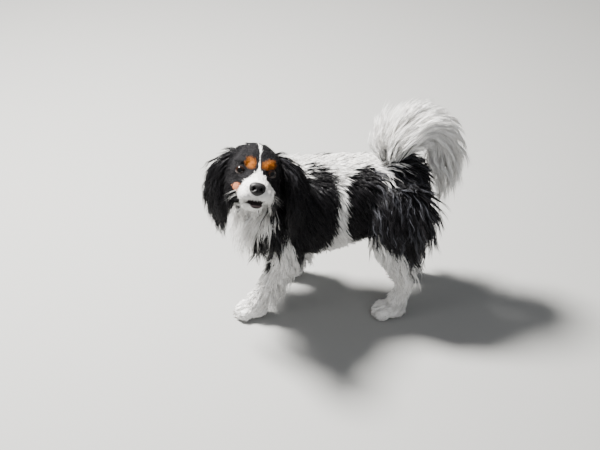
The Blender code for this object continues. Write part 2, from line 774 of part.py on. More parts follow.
def paw(name, x, side):
    """A furry foot: a round pad with four toes and their claws, flat underneath."""
    sign = side_sign(side)
    y = sign * LEG_SPREAD
    back = x + PAW_LENGTH * 0.16
    pieces = [
        ellipsoid("pad", (x, y, 0.015), (PAW_LENGTH * 0.42, PAW_WIDTH * 0.44, PAW_HEIGHT * 0.52)),
        ellipsoid("heel", (back, y, 0.017), (PAW_LENGTH * 0.28, PAW_WIDTH * 0.40, PAW_HEIGHT * 0.56)),
        ellipsoid("pastern", (back, y, 0.032), (0.0175, 0.0170, 0.020)),
    ]
    for k in range(TOES):
        across = (k - (TOES - 1) / 2) / TOES
        inner = abs(across) < 0.2
        forward = PAW_LENGTH * (0.33 if inner else 0.24)
        at = (x - forward, y + across * PAW_WIDTH * 0.92, 0.0115)
        turn = Matrix.Rotation(across * TOE_FAN, 4, "Z")
        pieces.append(ellipsoid("toe", at, TOE_SIZE, turn=turn))
    obj = blended(name, pieces, PAW_SKIN)
    sliced(obj, (0, 0, 0), (0, 0, 1), True, gap=0)
    sliced(obj, (0, 0, PAW_TOP), (0, 0, 1), False)
    return obj


def ear_tube(side):
    """A hanging flap: wide from its front edge, near the cheek, to its back edge."""
    sign = side_sign(side)
    outward = HEAD.to_3x3() @ Vector((EAR_FORWARD, -sign, 0))
    rows = [(x, y, z, half, thick, thick) for x, y, z, half, thick in EARS[side]]
    return Tube(rows, 12, 10, outward, cup=EAR_CUP)


def tail_tube():
    rows = [(x, y, z, r, r, r) for x, y, z, r in TAIL]
    return Tube(rows, 33, 12, (0.0, 1.0, 0.0))


def tail_nodes():
    """The tail in three lengths, parted square to its middle line."""
    tube = tail_tube()
    whole = blended("tail", [new_object("tail", *tube.mesh())], TAIL_SKIN)
    names = ("tail_root", "tail_arch", "tail_plume")
    nodes = []
    bounds = (None, *TAIL_CUTS, None)
    for k, name in enumerate(names):
        node = copied(whole, name)
        for share, keep_above in ((bounds[k], True), (bounds[k + 1], False)):
            if share is not None:
                i = int(round(share * (len(tube.middle) - 1)))
                sliced(node, tube.middle[i], tube.along[i], keep_above)
        nodes.append(node)
    bpy.data.objects.remove(whole)
    return nodes


def skin_of(*objects):
    """The surface of one or more objects, to find the nearest place on it or what crosses it."""
    points, faces = [], []
    for obj in objects:
        first = len(points)
        points += [v.co.copy() for v in obj.data.vertices]
        faces += [tuple(first + i for i in p.vertices) for p in obj.data.polygons]
    return BVHTree.FromPolygons(points, faces)


def height_over(skin, place):
    """How far a place is outside a skin, and the direction away from it. Where faces meet at the
    nearest place, the direction is the mean of theirs."""
    reach = skin.find_nearest(place)[3] + SAME_PLACE
    met = sorted(skin.find_nearest_range(place, reach), key=lambda hit: hit[2])
    away = sum((hit[1] for hit in met), Vector()).normalized()
    return (place - met[0][0]).dot(away), away


def lock_shape(path, facings, width):
    """A flat tapered lock of three sides along a path, with a ridge on the side that looks out.
    It ends in a point."""
    points = []
    for k, share in enumerate(LOCK_SHAPE):
        along = (path[k + 1] - path[k]).normalized()
        across = facings[k].cross(along).normalized()
        out = along.cross(across)
        half, ridge = width * share / 2, width * share * LOCK_FLATNESS
        points += [path[k] - across * half, path[k] + across * half, path[k] + out * ridge]
    points.append(path[-1])
    faces = [(0, 1, 2)]
    for r in range(len(LOCK_RINGS) - 1):
        for k in range(3):
            a, b = 3 * r + k, 3 * r + (k + 1) % 3
            faces += [(a, b, b + 3), (a, b + 3, a + 3)]
    tip, last = len(points) - 1, 3 * (len(LOCK_RINGS) - 1)
    faces += [(last + k, last + (k + 1) % 3, tip) for k in range(3)]
    return points, faces


def lock_path(place, sink, stand, length, flow, wave, own, others):
    """Where a lock lies: from inside the skin it runs along the coat's flow, rises over whatever it
    passes, and hangs free where nothing is under it. Its height over its own skin goes from minus
    sink to stand."""
    _, facing = height_over(own, place)
    path, facings = [place - facing * sink], [facing]
    reached = 0.0
    for share in (*LOCK_RINGS[1:], 1.0):
        step = (share - reached) * length
        wanted = flow(reached * length)
        wanted = wanted + facing.cross(wanted) * wave * math.cos(LOCK_WAVES * reached)
        at = path[-1] + wanted.normalized() * step
        height = -sink + (sink + stand) * min(1.0, LOCK_RISE * share)
        over, away = height_over(own, at)
        if away.dot(facing) > LOCK_FLIP:
            at += away * max(0.0, height - over)
            facing = (facing + away).normalized()
        over, elsewhere = height_over(others, at)
        at += elsewhere * max(0.0, LOCK_OVER - over)
        path.append(at)
        facings.append(facing)
        reached = share
    return path, facings


def smooth_run(path):
    """Whether a path has no sharp turn."""
    steps = [(b - a).normalized() for a, b in zip(path, path[1:])]
    return all(a.dot(b) > LOCK_STRAIGHT for a, b in zip(steps, steps[1:]))


def crosses_itself(points, faces):
    skin = BVHTree.FromPolygons(points, faces)
    return any(not set(faces[a]) & set(faces[b]) for a, b in skin.overlap(skin))


def coat(obj, group, tube, others, rng, turn=0.0):
    """Locks of one group on a node, as loose objects, each clear of the other nodes' skins."""
    lie, own_share, stand, stray, width = LOCK_LIE[group]
    lie, sink, own = Vector(lie), LOCK_SINK.get(group, PLAIN_SINK), skin_of(obj)
    tube_length = float(np.linalg.norm(np.diff(tube.middle, axis=0), axis=1).sum())
    locks = []
    for share, first, last, count, length in LOCK_ROWS[group]:
        step = (last - first) / count
        for k in range(count):
            angle = math.radians(first + step * (k + 0.5 + rng.uniform(-0.2, 0.2)) + turn)
            s = share + rng.uniform(-0.02, 0.02)
            place = own.find_nearest(tube.point(s, angle)[0])[0]
            swerve = rng.uniform(-stray, stray)
            wave = rng.uniform(0.6, 1.4) * stray * rng.choice((-1, 1))
            long, wide = length * rng.uniform(0.9, 1.12), width * rng.uniform(0.9, 1.12)

            def flow(done):
                _, away, along = tube.point(s + done / tube_length, angle)
                wanted = lie + own_share * along
                return wanted + away.cross(wanted) * swerve

            for attempt in range(LOCK_TRIES):
                high, run = stand + LOCK_HIGHER * attempt, long * LOCK_SHORTER**attempt
                path, facings = lock_path(place, sink, high, run, flow, wave, own, others)
                points, faces = lock_shape(path, facings, wide)
                if smooth_run(path) and clear_of(path, facings, wide, others):
                    if not crosses_itself(points, faces):
                        locks.append(new_object("lock", points, faces))
                        break
    return locks


def clear_of(path, facings, width, others):
    """Whether a lock with a little room round it stays off the floor and off the other skins."""
    under = [place - facing * LOCK_ROOM / 2 for place, facing in zip(path, facings)]
    around = lock_shape(under, facings, width + 2 * LOCK_ROOM)
    if min(p.z for p in around[0]) < FLOOR_ROOM:
        return False
    return not BVHTree.FromPolygons(*around).overlap(others)


def merged_flats(obj):
    """Faces that lie almost in one plane become one, and are split into triangles again."""
    bm = bmesh.new()
    bm.from_mesh(obj.data)
    bmesh.ops.dissolve_limit(bm, angle_limit=FLAT_ANGLE, verts=bm.verts, edges=bm.edges)
    bmesh.ops.triangulate(bm, faces=bm.faces)
    if all(len(edge.link_faces) == 2 for edge in bm.edges):
        bm.to_mesh(obj.data)
    bm.free()


def fused(obj, locks):
    """One Boolean union of a node with all its locks."""
    tools = bpy.data.collections.new("locks")
    bpy.context.scene.collection.children.link(tools)
    for lock in locks:
        bpy.context.scene.collection.objects.unlink(lock)
        tools.objects.link(lock)
    boolean(obj, "UNION", collection=tools)
    for lock in locks:
        bpy.data.objects.remove(lock)
    bpy.data.collections.remove(tools)
    largest_surface(obj)


def add_coats(nodes):
    """The long hair of every node that has it."""
    rng = np.random.default_rng(SEED)
    trunk = trunk_tube()
    back = [(group, trunk, 0) for group in ("trunk", "belly", "rump")]
    plan = [("torso", (("bib", bib_tube(), 0), *back)), ("neck", (("neck", neck_tube(), 0),))]
    for side in ("left", "right"):
        facing = 0 if side == "left" else 180
        thigh, forearm = hindleg_tube(side), foreleg_tube(side)
        behind, feather = breeches_tube(side), fore_feather_tube(side)
        plan += [
            (f"hindleg_{side}", (("thigh", thigh, facing), ("breeches", behind, 0))),
            (f"foreleg_{side}", (("fore_top", forearm, facing), ("fore_feather", feather, 0))),
            (f"ear_{side}", (("ear", ear_tube(side), 0),)),
        ]
    tail = tail_tube()
    plan += [(name, ((name, tail, 0),)) for name in ("tail_root", "tail_arch", "tail_plume")]
    plan.sort(key=lambda entry: entry[0] in ("torso", "neck"))
    for name, groups in plan:
        others = skin_of(*(obj for other, obj in nodes.items() if other != name))
        locks = []
        for group, tube, turn in groups:
            locks += coat(nodes[name], group, tube, others, rng, turn)
        fused(nodes[name], locks)
        merged_flats(nodes[name])


def material(name):
    found = bpy.data.materials.get(name)
    if found:
        return found
    made = bpy.data.materials.new(name)
    made.use_nodes = True
    shader = made.node_tree.nodes["Principled BSDF"]
    shader.inputs["Base Color"].default_value = (*COLOURS[name], 1.0)
    shader.inputs["Roughness"].default_value = ROUGHNESS[name]
    shader.inputs["Metallic"].default_value = 0.0
    return made


def dress(obj, name):
    obj.data.materials.clear()
    obj.data.materials.append(material(name))
    obj.data.shade_smooth()
    obj.data.set_sharp_from_angle(angle=SHARP_EDGE)


def move_to_origin(nodes):
    """The origin becomes the bottom centre of the figure's box."""
    corners = np.array([v.co for obj in nodes for v in obj.data.vertices])
    low, high = corners.min(axis=0), corners.max(axis=0)
    shift = Matrix.Translation((-(low[0] + high[0]) / 2, -(low[1] + high[1]) / 2, -low[2]))
    for obj in nodes:
        obj.data.transform(shift)


def main():
    clear_scene()
    body = body_shell()
    sliced(body, (0, 0, PAW_TOP), (0, 0, 1), True)

    nodes = {}
    for part, cut in (("foreleg", SHOULDER_CUT), ("hindleg", HIP_CUT)):
        for side in ("left", "right"):
            name = f"{part}_{side}"
            nodes[name] = copied(body, name)
            cell = leg_cell("cell", cut, side, GAP)
            boolean(nodes[name], "INTERSECT", cell)
            bpy.data.objects.remove(cell)
            largest_surface(nodes[name])
    for part, cut in (("foreleg", SHOULDER_CUT), ("hindleg", HIP_CUT)):
        for side in ("left", "right"):
            cell = leg_cell("cell", cut, side, 0)
            boolean(body, "DIFFERENCE", cell)
            bpy.data.objects.remove(cell)
    largest_surface(body)
    neck = copied(body, "neck")
    sliced(body, NECK_CUT_AT, NECK_CUT_NORMAL, False)
    body.name = "torso"
    nodes["torso"] = body
    sliced(neck, NECK_CUT_AT, NECK_CUT_NORMAL, True)
    sliced(neck, HEAD_CUT_AT, HEAD_CUT_NORMAL, False)
    nodes["neck"] = neck

    head = head_form()
    sliced(head, HEAD_CUT_AT, HEAD_CUT_NORMAL, True)
    jaw = copied(head, "jaw")
    cell = jaw_cell("cell", MOUTH_SLIT)
    boolean(jaw, "INTERSECT", cell)
    bpy.data.objects.remove(cell)
    largest_surface(jaw)
    cell = jaw_cell("cell", 0)
    boolean(head, "DIFFERENCE", cell)
    bpy.data.objects.remove(cell)
    largest_surface(head)
    nodes["jaw"] = jaw
    nodes["head"] = head

    for side, s in (("left", 1), ("right", -1)):
        rim = lid(s)
        boolean(head, "UNION", rim)
        bpy.data.objects.remove(rim)
        nodes[f"eye_{side}"] = eye(side, s)
        cut_by(head, nodes[f"eye_{side}"])
    nodes["nose"] = nose()
    cut_by(head, nodes["nose"])

    for side in ("left", "right"):
        nodes[f"paw_fore_{side}"] = paw(f"paw_fore_{side}", FORE_PAW_X[side], side)
        shift = RIGHT_HIND_BACK if side == "right" else 0
        nodes[f"paw_hind_{side}"] = paw(f"paw_hind_{side}", HIND_PAW_X + shift, side)
        ear = new_object(f"ear_{side}", *ear_tube(side).mesh())
        for other in (head, neck, body, nodes[f"foreleg_{side}"]):
            cut_by(ear, other)
        nodes[ear.name] = ear
    for obj in tail_nodes():
        nodes[obj.name] = obj
    for name in ("tail_root", "tail_plume"):
        for other in (body, nodes["hindleg_left"], nodes["hindleg_right"]):
            cut_by(nodes[name], other)

    add_coats(nodes)

    dark = {"eye_left": "eye_brown", "eye_right": "eye_brown", "nose": "nose_black"}
    for name, obj in nodes.items():
        obj.name = name
        dress(obj, dark.get(name, "coat_white"))
    move_to_origin(list(nodes.values()))


main()
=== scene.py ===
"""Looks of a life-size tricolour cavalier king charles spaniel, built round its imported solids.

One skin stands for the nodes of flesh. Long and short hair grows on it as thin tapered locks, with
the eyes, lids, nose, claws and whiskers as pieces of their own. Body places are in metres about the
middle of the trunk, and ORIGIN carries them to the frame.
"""

import math

import bpy
import numpy as np
from mathutils import Matrix, Vector
from mathutils.bvhtree import BVHTree
from mathutils.kdtree import KDTree


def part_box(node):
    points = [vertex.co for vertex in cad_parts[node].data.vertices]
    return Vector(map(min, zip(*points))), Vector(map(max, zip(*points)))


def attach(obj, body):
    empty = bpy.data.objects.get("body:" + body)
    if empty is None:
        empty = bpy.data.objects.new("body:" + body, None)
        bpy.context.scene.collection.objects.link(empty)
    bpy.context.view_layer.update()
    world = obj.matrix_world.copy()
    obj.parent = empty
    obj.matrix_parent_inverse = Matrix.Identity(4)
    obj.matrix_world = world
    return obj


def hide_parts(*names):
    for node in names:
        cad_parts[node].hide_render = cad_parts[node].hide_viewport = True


bl_info = {
    "name": "Spaniel Looks",
    "version": (1, 0, 0),
    "blender": (4, 5, 0),
    "location": "View3D > Sidebar > Spaniel",
    "description": "Skin, coat, eyes and nose of a tricolour cavalier king charles spaniel",
    "category": "Object",
}

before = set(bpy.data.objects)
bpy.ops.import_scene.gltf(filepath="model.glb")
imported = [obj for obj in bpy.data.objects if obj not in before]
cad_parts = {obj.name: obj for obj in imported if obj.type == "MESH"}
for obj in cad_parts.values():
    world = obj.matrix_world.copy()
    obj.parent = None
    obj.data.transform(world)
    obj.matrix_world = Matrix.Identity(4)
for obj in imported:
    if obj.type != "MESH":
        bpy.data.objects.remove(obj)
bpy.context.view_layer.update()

# The head's own frame: x forward, y to its left, z up.
HEAD_YAW = 100.0
HEAD_PITCH = 30.0
HEAD_ROLL = -13.0
HEAD_AT = (-0.147, -0.085, 0.309)

# Rows of the flesh under the coat: x, top, bottom, half width.
TRUNK = (
    (-0.154, 0.206, 0.172, 0.018),
    (-0.144, 0.230, 0.146, 0.040),
    (-0.122, 0.258, 0.126, 0.054),
    (-0.095, 0.275, 0.117, 0.063),
    (-0.060, 0.283, 0.114, 0.067),
    (-0.020, 0.286, 0.120, 0.067),
    (0.020, 0.287, 0.136, 0.064),
    (0.060, 0.288, 0.152, 0.060),
    (0.095, 0.285, 0.162, 0.057),
    (0.125, 0.272, 0.172, 0.048),
    (0.142, 0.252, 0.186, 0.034),
    (0.151, 0.232, 0.204, 0.016),
)
# Rows along a limb or the neck: x, y, z, half width, reach to the front or top, reach to the back.
NECK = (
    (-0.088, 0.000, 0.222, 0.052, 0.046, 0.052),
    (-0.116, -0.014, 0.248, 0.046, 0.036, 0.046),
    (-0.137, -0.038, 0.276, 0.040, 0.034, 0.042),
    (-0.144, -0.066, 0.300, 0.037, 0.035, 0.040),
    (-0.147, -0.088, 0.309, 0.034, 0.032, 0.036),
)
# The legs: x, height, half width, reach to the front, reach to the back.
FORELEG = {
    "left": (
        (-0.104, 0.225, 0.014, 0.020, 0.020),
        (-0.108, 0.200, 0.022, 0.031, 0.031),
        (-0.098, 0.165, 0.023, 0.028, 0.026),
        (-0.098, 0.135, 0.019, 0.021, 0.020),
        (-0.112, 0.100, 0.0155, 0.0175, 0.0165),
        (-0.128, 0.064, 0.0135, 0.0145, 0.0145),
        (-0.138, 0.040, 0.0140, 0.0150, 0.0140),
        (-0.147, 0.022, 0.0140, 0.0140, 0.0140),
    ),
    "right": (
        (-0.104, 0.225, 0.014, 0.020, 0.020),
        (-0.108, 0.200, 0.022, 0.031, 0.031),
        (-0.092, 0.165, 0.023, 0.028, 0.026),
        (-0.080, 0.135, 0.019, 0.021, 0.020),
        (-0.077, 0.100, 0.0155, 0.0175, 0.0165),
        (-0.077, 0.064, 0.0135, 0.0145, 0.0145),
        (-0.078, 0.040, 0.0140, 0.0150, 0.0140),
        (-0.083, 0.022, 0.0140, 0.0140, 0.0140),
    ),
}
HINDLEG = (
    (0.096, 0.262, 0.016, 0.022, 0.022),
    (0.100, 0.235, 0.026, 0.046, 0.040),
    (0.096, 0.200, 0.028, 0.051, 0.044),
    (0.084, 0.168, 0.023, 0.035, 0.034),
    (0.079, 0.142, 0.0185, 0.022, 0.025),
    (0.092, 0.112, 0.0155, 0.0165, 0.0175),
    (0.107, 0.082, 0.0130, 0.0135, 0.0145),
    (0.106, 0.055, 0.0125, 0.0125, 0.0125),
    (0.102, 0.036, 0.0135, 0.0135, 0.0125),
    (0.098, 0.020, 0.0135, 0.0145, 0.0125),
)
LEG_SPREAD = 0.058
ELBOW_SPREAD = 0.052
ELBOW_HEIGHT = 0.18
HIP_SPREAD = 0.046
HIP_HEIGHT = 0.26
HIP_RUN = 0.06
RIGHT_HIND_BACK = 0.034
BACK_HEIGHTS = (0.08, 0.17)
THIGH_SLIMMED = (0.195, 0.240)
FORE_PAW_X = {"left": -0.155, "right": -0.092}
HIND_PAW_X = 0.088
PAW_LENGTH = 0.060
PAW_WIDTH = 0.044
TOES = 4
TOE_GROOVE = 0.0030

# The tail's flesh: x, y, z, radius.
TAIL = (
    (0.084, 0.000, 0.262, 0.013),
    (0.080, 0.000, 0.300, 0.012),
    (0.092, 0.003, 0.332, 0.0105),
    (0.119, 0.010, 0.351, 0.0095),
    (0.147, 0.019, 0.347, 0.0085),
    (0.163, 0.028, 0.324, 0.0075),
    (0.170, 0.034, 0.294, 0.0060),
    (0.172, 0.037, 0.262, 0.0035),
)
# The ears' flaps: x, y, z of the middle line, half width, half thickness.
EARS = {
    "right": (
        (-0.170, -0.057, 0.328, 0.010, 0.0045),
        (-0.187, -0.061, 0.328, 0.016, 0.0042),
        (-0.201, -0.069, 0.314, 0.022, 0.0036),
        (-0.207, -0.076, 0.288, 0.025, 0.0032),
        (-0.207, -0.080, 0.262, 0.020, 0.0028),
        (-0.205, -0.082, 0.244, 0.008, 0.0022),
    ),
    "left": (
        (-0.116, -0.051, 0.315, 0.010, 0.0045),
        (-0.099, -0.055, 0.314, 0.016, 0.0042),
        (-0.084, -0.063, 0.300, 0.022, 0.0036),
        (-0.077, -0.073, 0.275, 0.025, 0.0032),
        (-0.077, -0.080, 0.250, 0.020, 0.0028),
        (-0.079, -0.083, 0.232, 0.008, 0.0022),
    ),
}
EAR_FORWARD = 0.75
EAR_INSET = 0.82
EAR_THINNED = 0.78

# The head, in its own frame: x, top, bottom, half width.
SKULL = (
    (-0.062, 0.020, -0.002, 0.011),
    (-0.054, 0.033, -0.016, 0.025),
    (-0.036, 0.045, -0.031, 0.037),
    (-0.010, 0.0505, -0.040, 0.0430),
    (0.010, 0.0488, -0.044, 0.0412),
    (0.022, 0.0410, -0.045, 0.0360),
    (0.031, 0.0252, -0.0455, 0.0292),
    (0.040, 0.0076, -0.0440, 0.0245),
    (0.052, -0.0002, -0.0395, 0.0212),
    (0.063, -0.0042, -0.0350, 0.0184),
    (0.071, -0.0102, -0.0300, 0.0118),
)
LIP_AT = (0.051, 0.0132, -0.0262)
LIP_SIZE = (0.0205, 0.0132, 0.0138)
CHEEK_AT = (0.006, 0.026, -0.017)
CHEEK_SIZE = (0.026, 0.0170, 0.023)
BROW_AT = (0.020, 0.0185, 0.023)
BROW_SIZE = (0.0130, 0.0142, 0.0092)
JAW_ROWS = (
    (0.000, -0.040, 0.0170, 0.0112),
    (0.025, -0.0435, 0.0165, 0.0098),
    (0.045, -0.0430, 0.0148, 0.0085),
    (0.058, -0.0412, 0.0114, 0.0074),
    (0.064, -0.0395, 0.0060, 0.0045),
)
MOUTH_LINE = ((0.030, -0.0440), (0.044, -0.0395), (0.060, -0.0378), (0.090, -0.0372))
MOUTH_CORNER = 0.026
MOUTH_DEPTH = 0.0055
NOSE_AT = (0.0685, 0.0010, -0.0162)
NOSE_SIZE = (0.0100, 0.0131, 0.0108)
EYE_AT = (0.0245, 0.0237, 0.0085)
EYE_RADIUS = 0.0104
EYE_OUTWARD = 16.0
EYE_SUNK = 0.0020
EYE_TALL = 1.30  # how much narrower than wide the eye opens
SOCKET_EDGE = (0.74, 0.94)  # angles from the way the eye looks, in radians
SOCKET_DEPTH = 0.0012

BODY_VOXEL = 0.0026
FINE_VOXEL = 0.0014
PAW_VOXEL = 0.0016

# Colours of the coat before light: black, white, tan and the pinker tan of the cheek.
BLACK = (0.0085, 0.0080, 0.0088)
WHITE = (0.88, 0.865, 0.84)
TAN = (0.235, 0.072, 0.009)
PINK_TAN = (0.52, 0.20, 0.105)
LIP_BLACK = (0.016, 0.012, 0.012)

# How each stretch of the coat grows. height is how far the tips stand over the skin, density
# is locks per square centimetre, spacing is between the guides that the locks follow, clump is
# how far locks close on their guide, droop how much they hang once clear of the skin.
COATS = {
    "head": dict(length=0.0085, height=0.0018, width=0.00075, density=36, spacing=0.006,
                 clump=0.20, wave=0.0, waves=1.0, droop=0.45, follow=0.012),
    "ear": dict(length=0.054, height=0.0065, width=0.0012, density=44, spacing=0.0050,
                clump=0.68, wave=0.0042, waves=2.1, droop=0.55, follow=0.014),
    "neck": dict(length=0.036, height=0.0095, width=0.0014, density=15, spacing=0.007,
                 clump=0.62, wave=0.0018, waves=1.2, droop=0.4, follow=0.010),
    "chest": dict(length=0.074, height=0.0290, width=0.0014, density=20, spacing=0.007,
                  clump=0.55, wave=0.0024, waves=1.3, droop=0.5, follow=0.012),
    "trunk": dict(length=0.024, height=0.0045, width=0.0012, density=17, spacing=0.006,
                  clump=0.45, wave=0.0010, waves=1.0, droop=0.2, follow=0.010),
    "belly": dict(length=0.022, height=0.0055, width=0.0013, density=12, spacing=0.006,
                  clump=0.55, wave=0.0014, waves=1.0, droop=0.6, follow=0.010),
    "shoulder": dict(length=0.038, height=0.0075, width=0.0013, density=17, spacing=0.007,
                     clump=0.62, wave=0.0024, waves=1.4, droop=0.5, follow=0.010),
    "thigh": dict(length=0.044, height=0.0085, width=0.0014, density=16, spacing=0.007,
                  clump=0.74, wave=0.0040, waves=1.8, droop=0.5, follow=0.010),
    "breeches": dict(length=0.066, height=0.0225, width=0.0014, density=20, spacing=0.007,
                     clump=0.70, wave=0.0036, waves=1.8, droop=1.5, follow=0.010),
    "foreleg": dict(length=0.020, height=0.0050, width=0.0010, density=25, spacing=0.006,
                    clump=0.40, wave=0.0006, waves=1.0, droop=0.2, follow=0.012),
    "feather": dict(length=0.040, height=0.0135, width=0.0011, density=30, spacing=0.006,
                    clump=0.30, wave=0.0012, waves=1.2, droop=0.3, follow=0.014),
    "hindleg": dict(length=0.014, height=0.0035, width=0.0010, density=24, spacing=0.006,
                    clump=0.35, wave=0.0004, waves=1.0, droop=0.1, follow=0.010),
    "paw": dict(length=0.0075, height=0.0014, width=0.0009, density=48, spacing=0.005,
                clump=0.30, wave=0.0, waves=1.0, droop=0.0, follow=0.010),
    "tail": dict(length=0.062, height=0.0250, width=0.0012, density=84, spacing=0.0050,
                 clump=0.38, wave=0.0022, waves=1.2, droop=0.30, follow=0.060),
}
FIELDS = ("length", "height", "width", "density", "clump", "wave", "waves", "droop", "follow")
GUIDE_STEPS = 8
STEER = 0.6  # how much the lie of the skin under a hair turns it at each step
UNDERCOAT = 0.25  # share of the locks that are short
SHOWN = 0.65  # share of a hair's length from its root to where it mostly shows
FARTHEST_SHOWN = 0.032
SEED = 2063


def head_matrix():
    """The head's own frame in the body's frame."""
    yaw, pitch, roll = (math.radians(v) for v in (HEAD_YAW, HEAD_PITCH, HEAD_ROLL))
    level = math.cos(pitch)
    forward = Vector((-math.cos(yaw) * level, -math.sin(yaw) * level, math.sin(pitch)))
    level_left = Vector((math.sin(yaw), -math.cos(yaw), 0))
    level_up = forward.cross(level_left)
    left = math.cos(roll) * level_left + math.sin(roll) * level_up
    turn = Matrix((forward, left, forward.cross(left))).transposed().to_4x4()
    return Matrix.Translation(HEAD_AT) @ turn


HEAD = np.array(head_matrix())


def by_matrix(matrix, points):
    """Points carried by a 4x4 matrix."""
    return np.asarray(points) @ matrix[:3, :3].T + matrix[:3, 3]


def in_head(points):
    """Body places in the head's own frame."""
    return (np.asarray(points) - HEAD[:3, 3]) @ HEAD[:3, :3]


def eye_place(s, sunk=EYE_SUNK):
    """The middle of one eye, set back along the way it looks."""
    turn = math.radians(EYE_OUTWARD)
    x, y, z = EYE_AT
    return by_matrix(HEAD, np.array((x - sunk * math.cos(turn), s * (y - sunk * math.sin(turn)), z)))


ORIGIN = np.array(sum(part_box("eye_left"), Vector())) / 2 - eye_place(1, sunk=0.0)


def unit(v):
    return v / np.maximum(np.linalg.norm(v, axis=-1, keepdims=True), 1e-9)


def dot(a, b):
    return (a * b).sum(axis=-1, keepdims=True)


def smooth_step(low, high, value):
    t = np.clip((value - low) / (high - low), 0, 1)
    return t * t * (3 - 2 * t)


def ripple(points, size, seed):
    """A smooth wandering value from -1 to 1: the sum of eight sine waves of about that size, each
    along its own direction."""
    rng = np.random.default_rng(seed)
    total = np.zeros(len(points))
    for _ in range(8):
        direction = rng.normal(size=3)
        direction *= 2 * math.pi / (size * rng.uniform(0.7, 1.8)) / np.linalg.norm(direction)
        total += np.sin(points @ direction + rng.uniform(0, 2 * math.pi))
    return total / 4


def spline(rows, count):
    """Catmull-Rom curve through the rows, as count rows."""
    rows = np.asarray(rows, float)
    padded = np.vstack((2 * rows[0] - rows[1], rows, 2 * rows[-1] - rows[-2]))
    at = np.linspace(0, len(rows) - 1, count)
    i = np.minimum(at.astype(int), len(rows) - 2)
    t = (at - i)[:, None]
    a, b, c, d = padded[i], padded[i + 1], padded[i + 2], padded[i + 3]
    bend, twist = 2 * a - 5 * b + 4 * c - d, 3 * b - a - 3 * c + d
    return 0.5 * (2 * b + (c - a) * t + bend * t**2 + twist * t**3)


class Form:
    """A body part: an ellipse of changing reach carried along a smooth middle line."""

    def __init__(self, label, rows, rings, sides, up, square_to=None, matrix=None):
        self.label, self.sides = label, sides
        self.rows = spline(rows, rings)
        self.middle = self.rows[:, :3]
        along = unit(np.gradient(self.middle, axis=0))
        if square_to:
            along = np.tile(square_to, (rings, 1)).astype(float)
        self.along = along
        self.across = unit(np.cross(np.asarray(up, float), along))
        self.up = np.cross(along, self.across)
        if matrix is not None:
            self.middle = by_matrix(matrix, self.middle)
            self.along, self.across, self.up = (
                v @ matrix[:3, :3].T for v in (self.along, self.across, self.up)
            )

    def grid(self):
        """Ring r, side s: middle + across * half * cos(angle) + up * reach * sin(angle)."""
        angle = np.linspace(0, 2 * math.pi, self.sides, endpoint=False)
        c, n = np.cos(angle)[None, :, None], np.sin(angle)[None, :, None]
        half, front, back = (self.rows[:, k][:, None, None] for k in (3, 4, 5))
        return (
            self.middle[:, None]
            + self.across[:, None] * half * c
            + self.up[:, None] * np.where(n > 0, front, back) * n
        )

    def closeness(self, points):
        """(how far outside the form each point is, share of its length, direction along, away)."""
        best = np.empty(len(points), int)
        for first in range(0, len(points), 20000):
            part = points[first : first + 20000]
            gap = ((part[:, None] - self.middle[None]) ** 2).sum(axis=2)
            best[first : first + 20000] = gap.argmin(axis=1)
        offset = points - self.middle[best]
        half, front, back = (self.rows[best, k] for k in (3, 4, 5))
        sideways = (offset * self.across[best]).sum(axis=1)
        upward = (offset * self.up[best]).sum(axis=1)
        ahead = (offset * self.along[best]).sum(axis=1)
        reach = np.where(upward > 0, front, back)
        ratio = np.sqrt((sideways / half) ** 2 + (upward / reach) ** 2)
        outside = (ratio - 1) * np.minimum(half, reach) + np.abs(ahead) * 0.5
        share = best / (len(self.middle) - 1)
        away = unit(self.across[best] * sideways[:, None] + self.up[best] * upward[:, None])
        return outside, share, self.along[best], away


def closed_grid(grid):
    """Points and triangles of a grid of rings, closed by a fan at each end."""
    rings, sides = grid.shape[:2]
    points = np.vstack((grid.reshape(-1, 3), grid[0].mean(axis=0), grid[-1].mean(axis=0)))
    r, s = np.meshgrid(np.arange(rings - 1), np.arange(sides), indexing="ij")
    a = (r * sides + s).ravel()
    b = (r * sides + (s + 1) % sides).ravel()
    c, d = a + sides, b + sides
    s = np.arange(sides)
    after = (s + 1) % sides
    last = (rings - 1) * sides
    faces = np.vstack(
        (
            np.column_stack((a, b, d)),
            np.column_stack((a, d, c)),
            np.column_stack((np.full(sides, rings * sides), after, s)),
            np.column_stack((np.full(sides, rings * sides + 1), last + s, last + after)),
        )
    )
    return points, faces


def ball(at, size, matrix, turn=0.0, rings=24, sides=32):
    """A ball of three radii, turned about the vertical: rings from pole to pole along z."""
    v = np.linspace(0.04, math.pi - 0.04, rings)[:, None]
    u = np.linspace(0, 2 * math.pi, sides, endpoint=False)[None, :]
    x, y = np.sin(v) * np.cos(u) * size[0], np.sin(v) * np.sin(u) * size[1]
    z = np.cos(v) * size[2] * np.ones_like(u)
    c, s = math.cos(turn), math.sin(turn)
    grid = np.stack((x * c - y * s, x * s + y * c, z), axis=2) + np.array(at)
    return by_matrix(matrix, grid)


def mesh_object(name, points, faces, flip_check=True):
    """A mesh object from arrays of points and triangles, its faces made to point outwards."""
    mesh = bpy.data.meshes.new(name)
    mesh.vertices.add(len(points))
    mesh.vertices.foreach_set("co", np.asarray(points, np.float32).ravel())
    faces = np.asarray(faces, np.int32)
    if flip_check:
        a, b, c = (np.asarray(points)[faces[:, k]] for k in range(3))
        if (a * np.cross(b, c)).sum() < 0:
            faces = faces[:, ::-1]
    mesh.loops.add(faces.size)
    mesh.loops.foreach_set("vertex_index", faces.ravel())
    mesh.polygons.add(len(faces))
    mesh.polygons.foreach_set("loop_start", np.arange(0, faces.size, 3, dtype=np.int32))
    mesh.update(calc_edges=True)
    mesh.shade_smooth()
    obj = bpy.data.objects.new(name, mesh)
    bpy.context.scene.collection.objects.link(obj)
    return obj


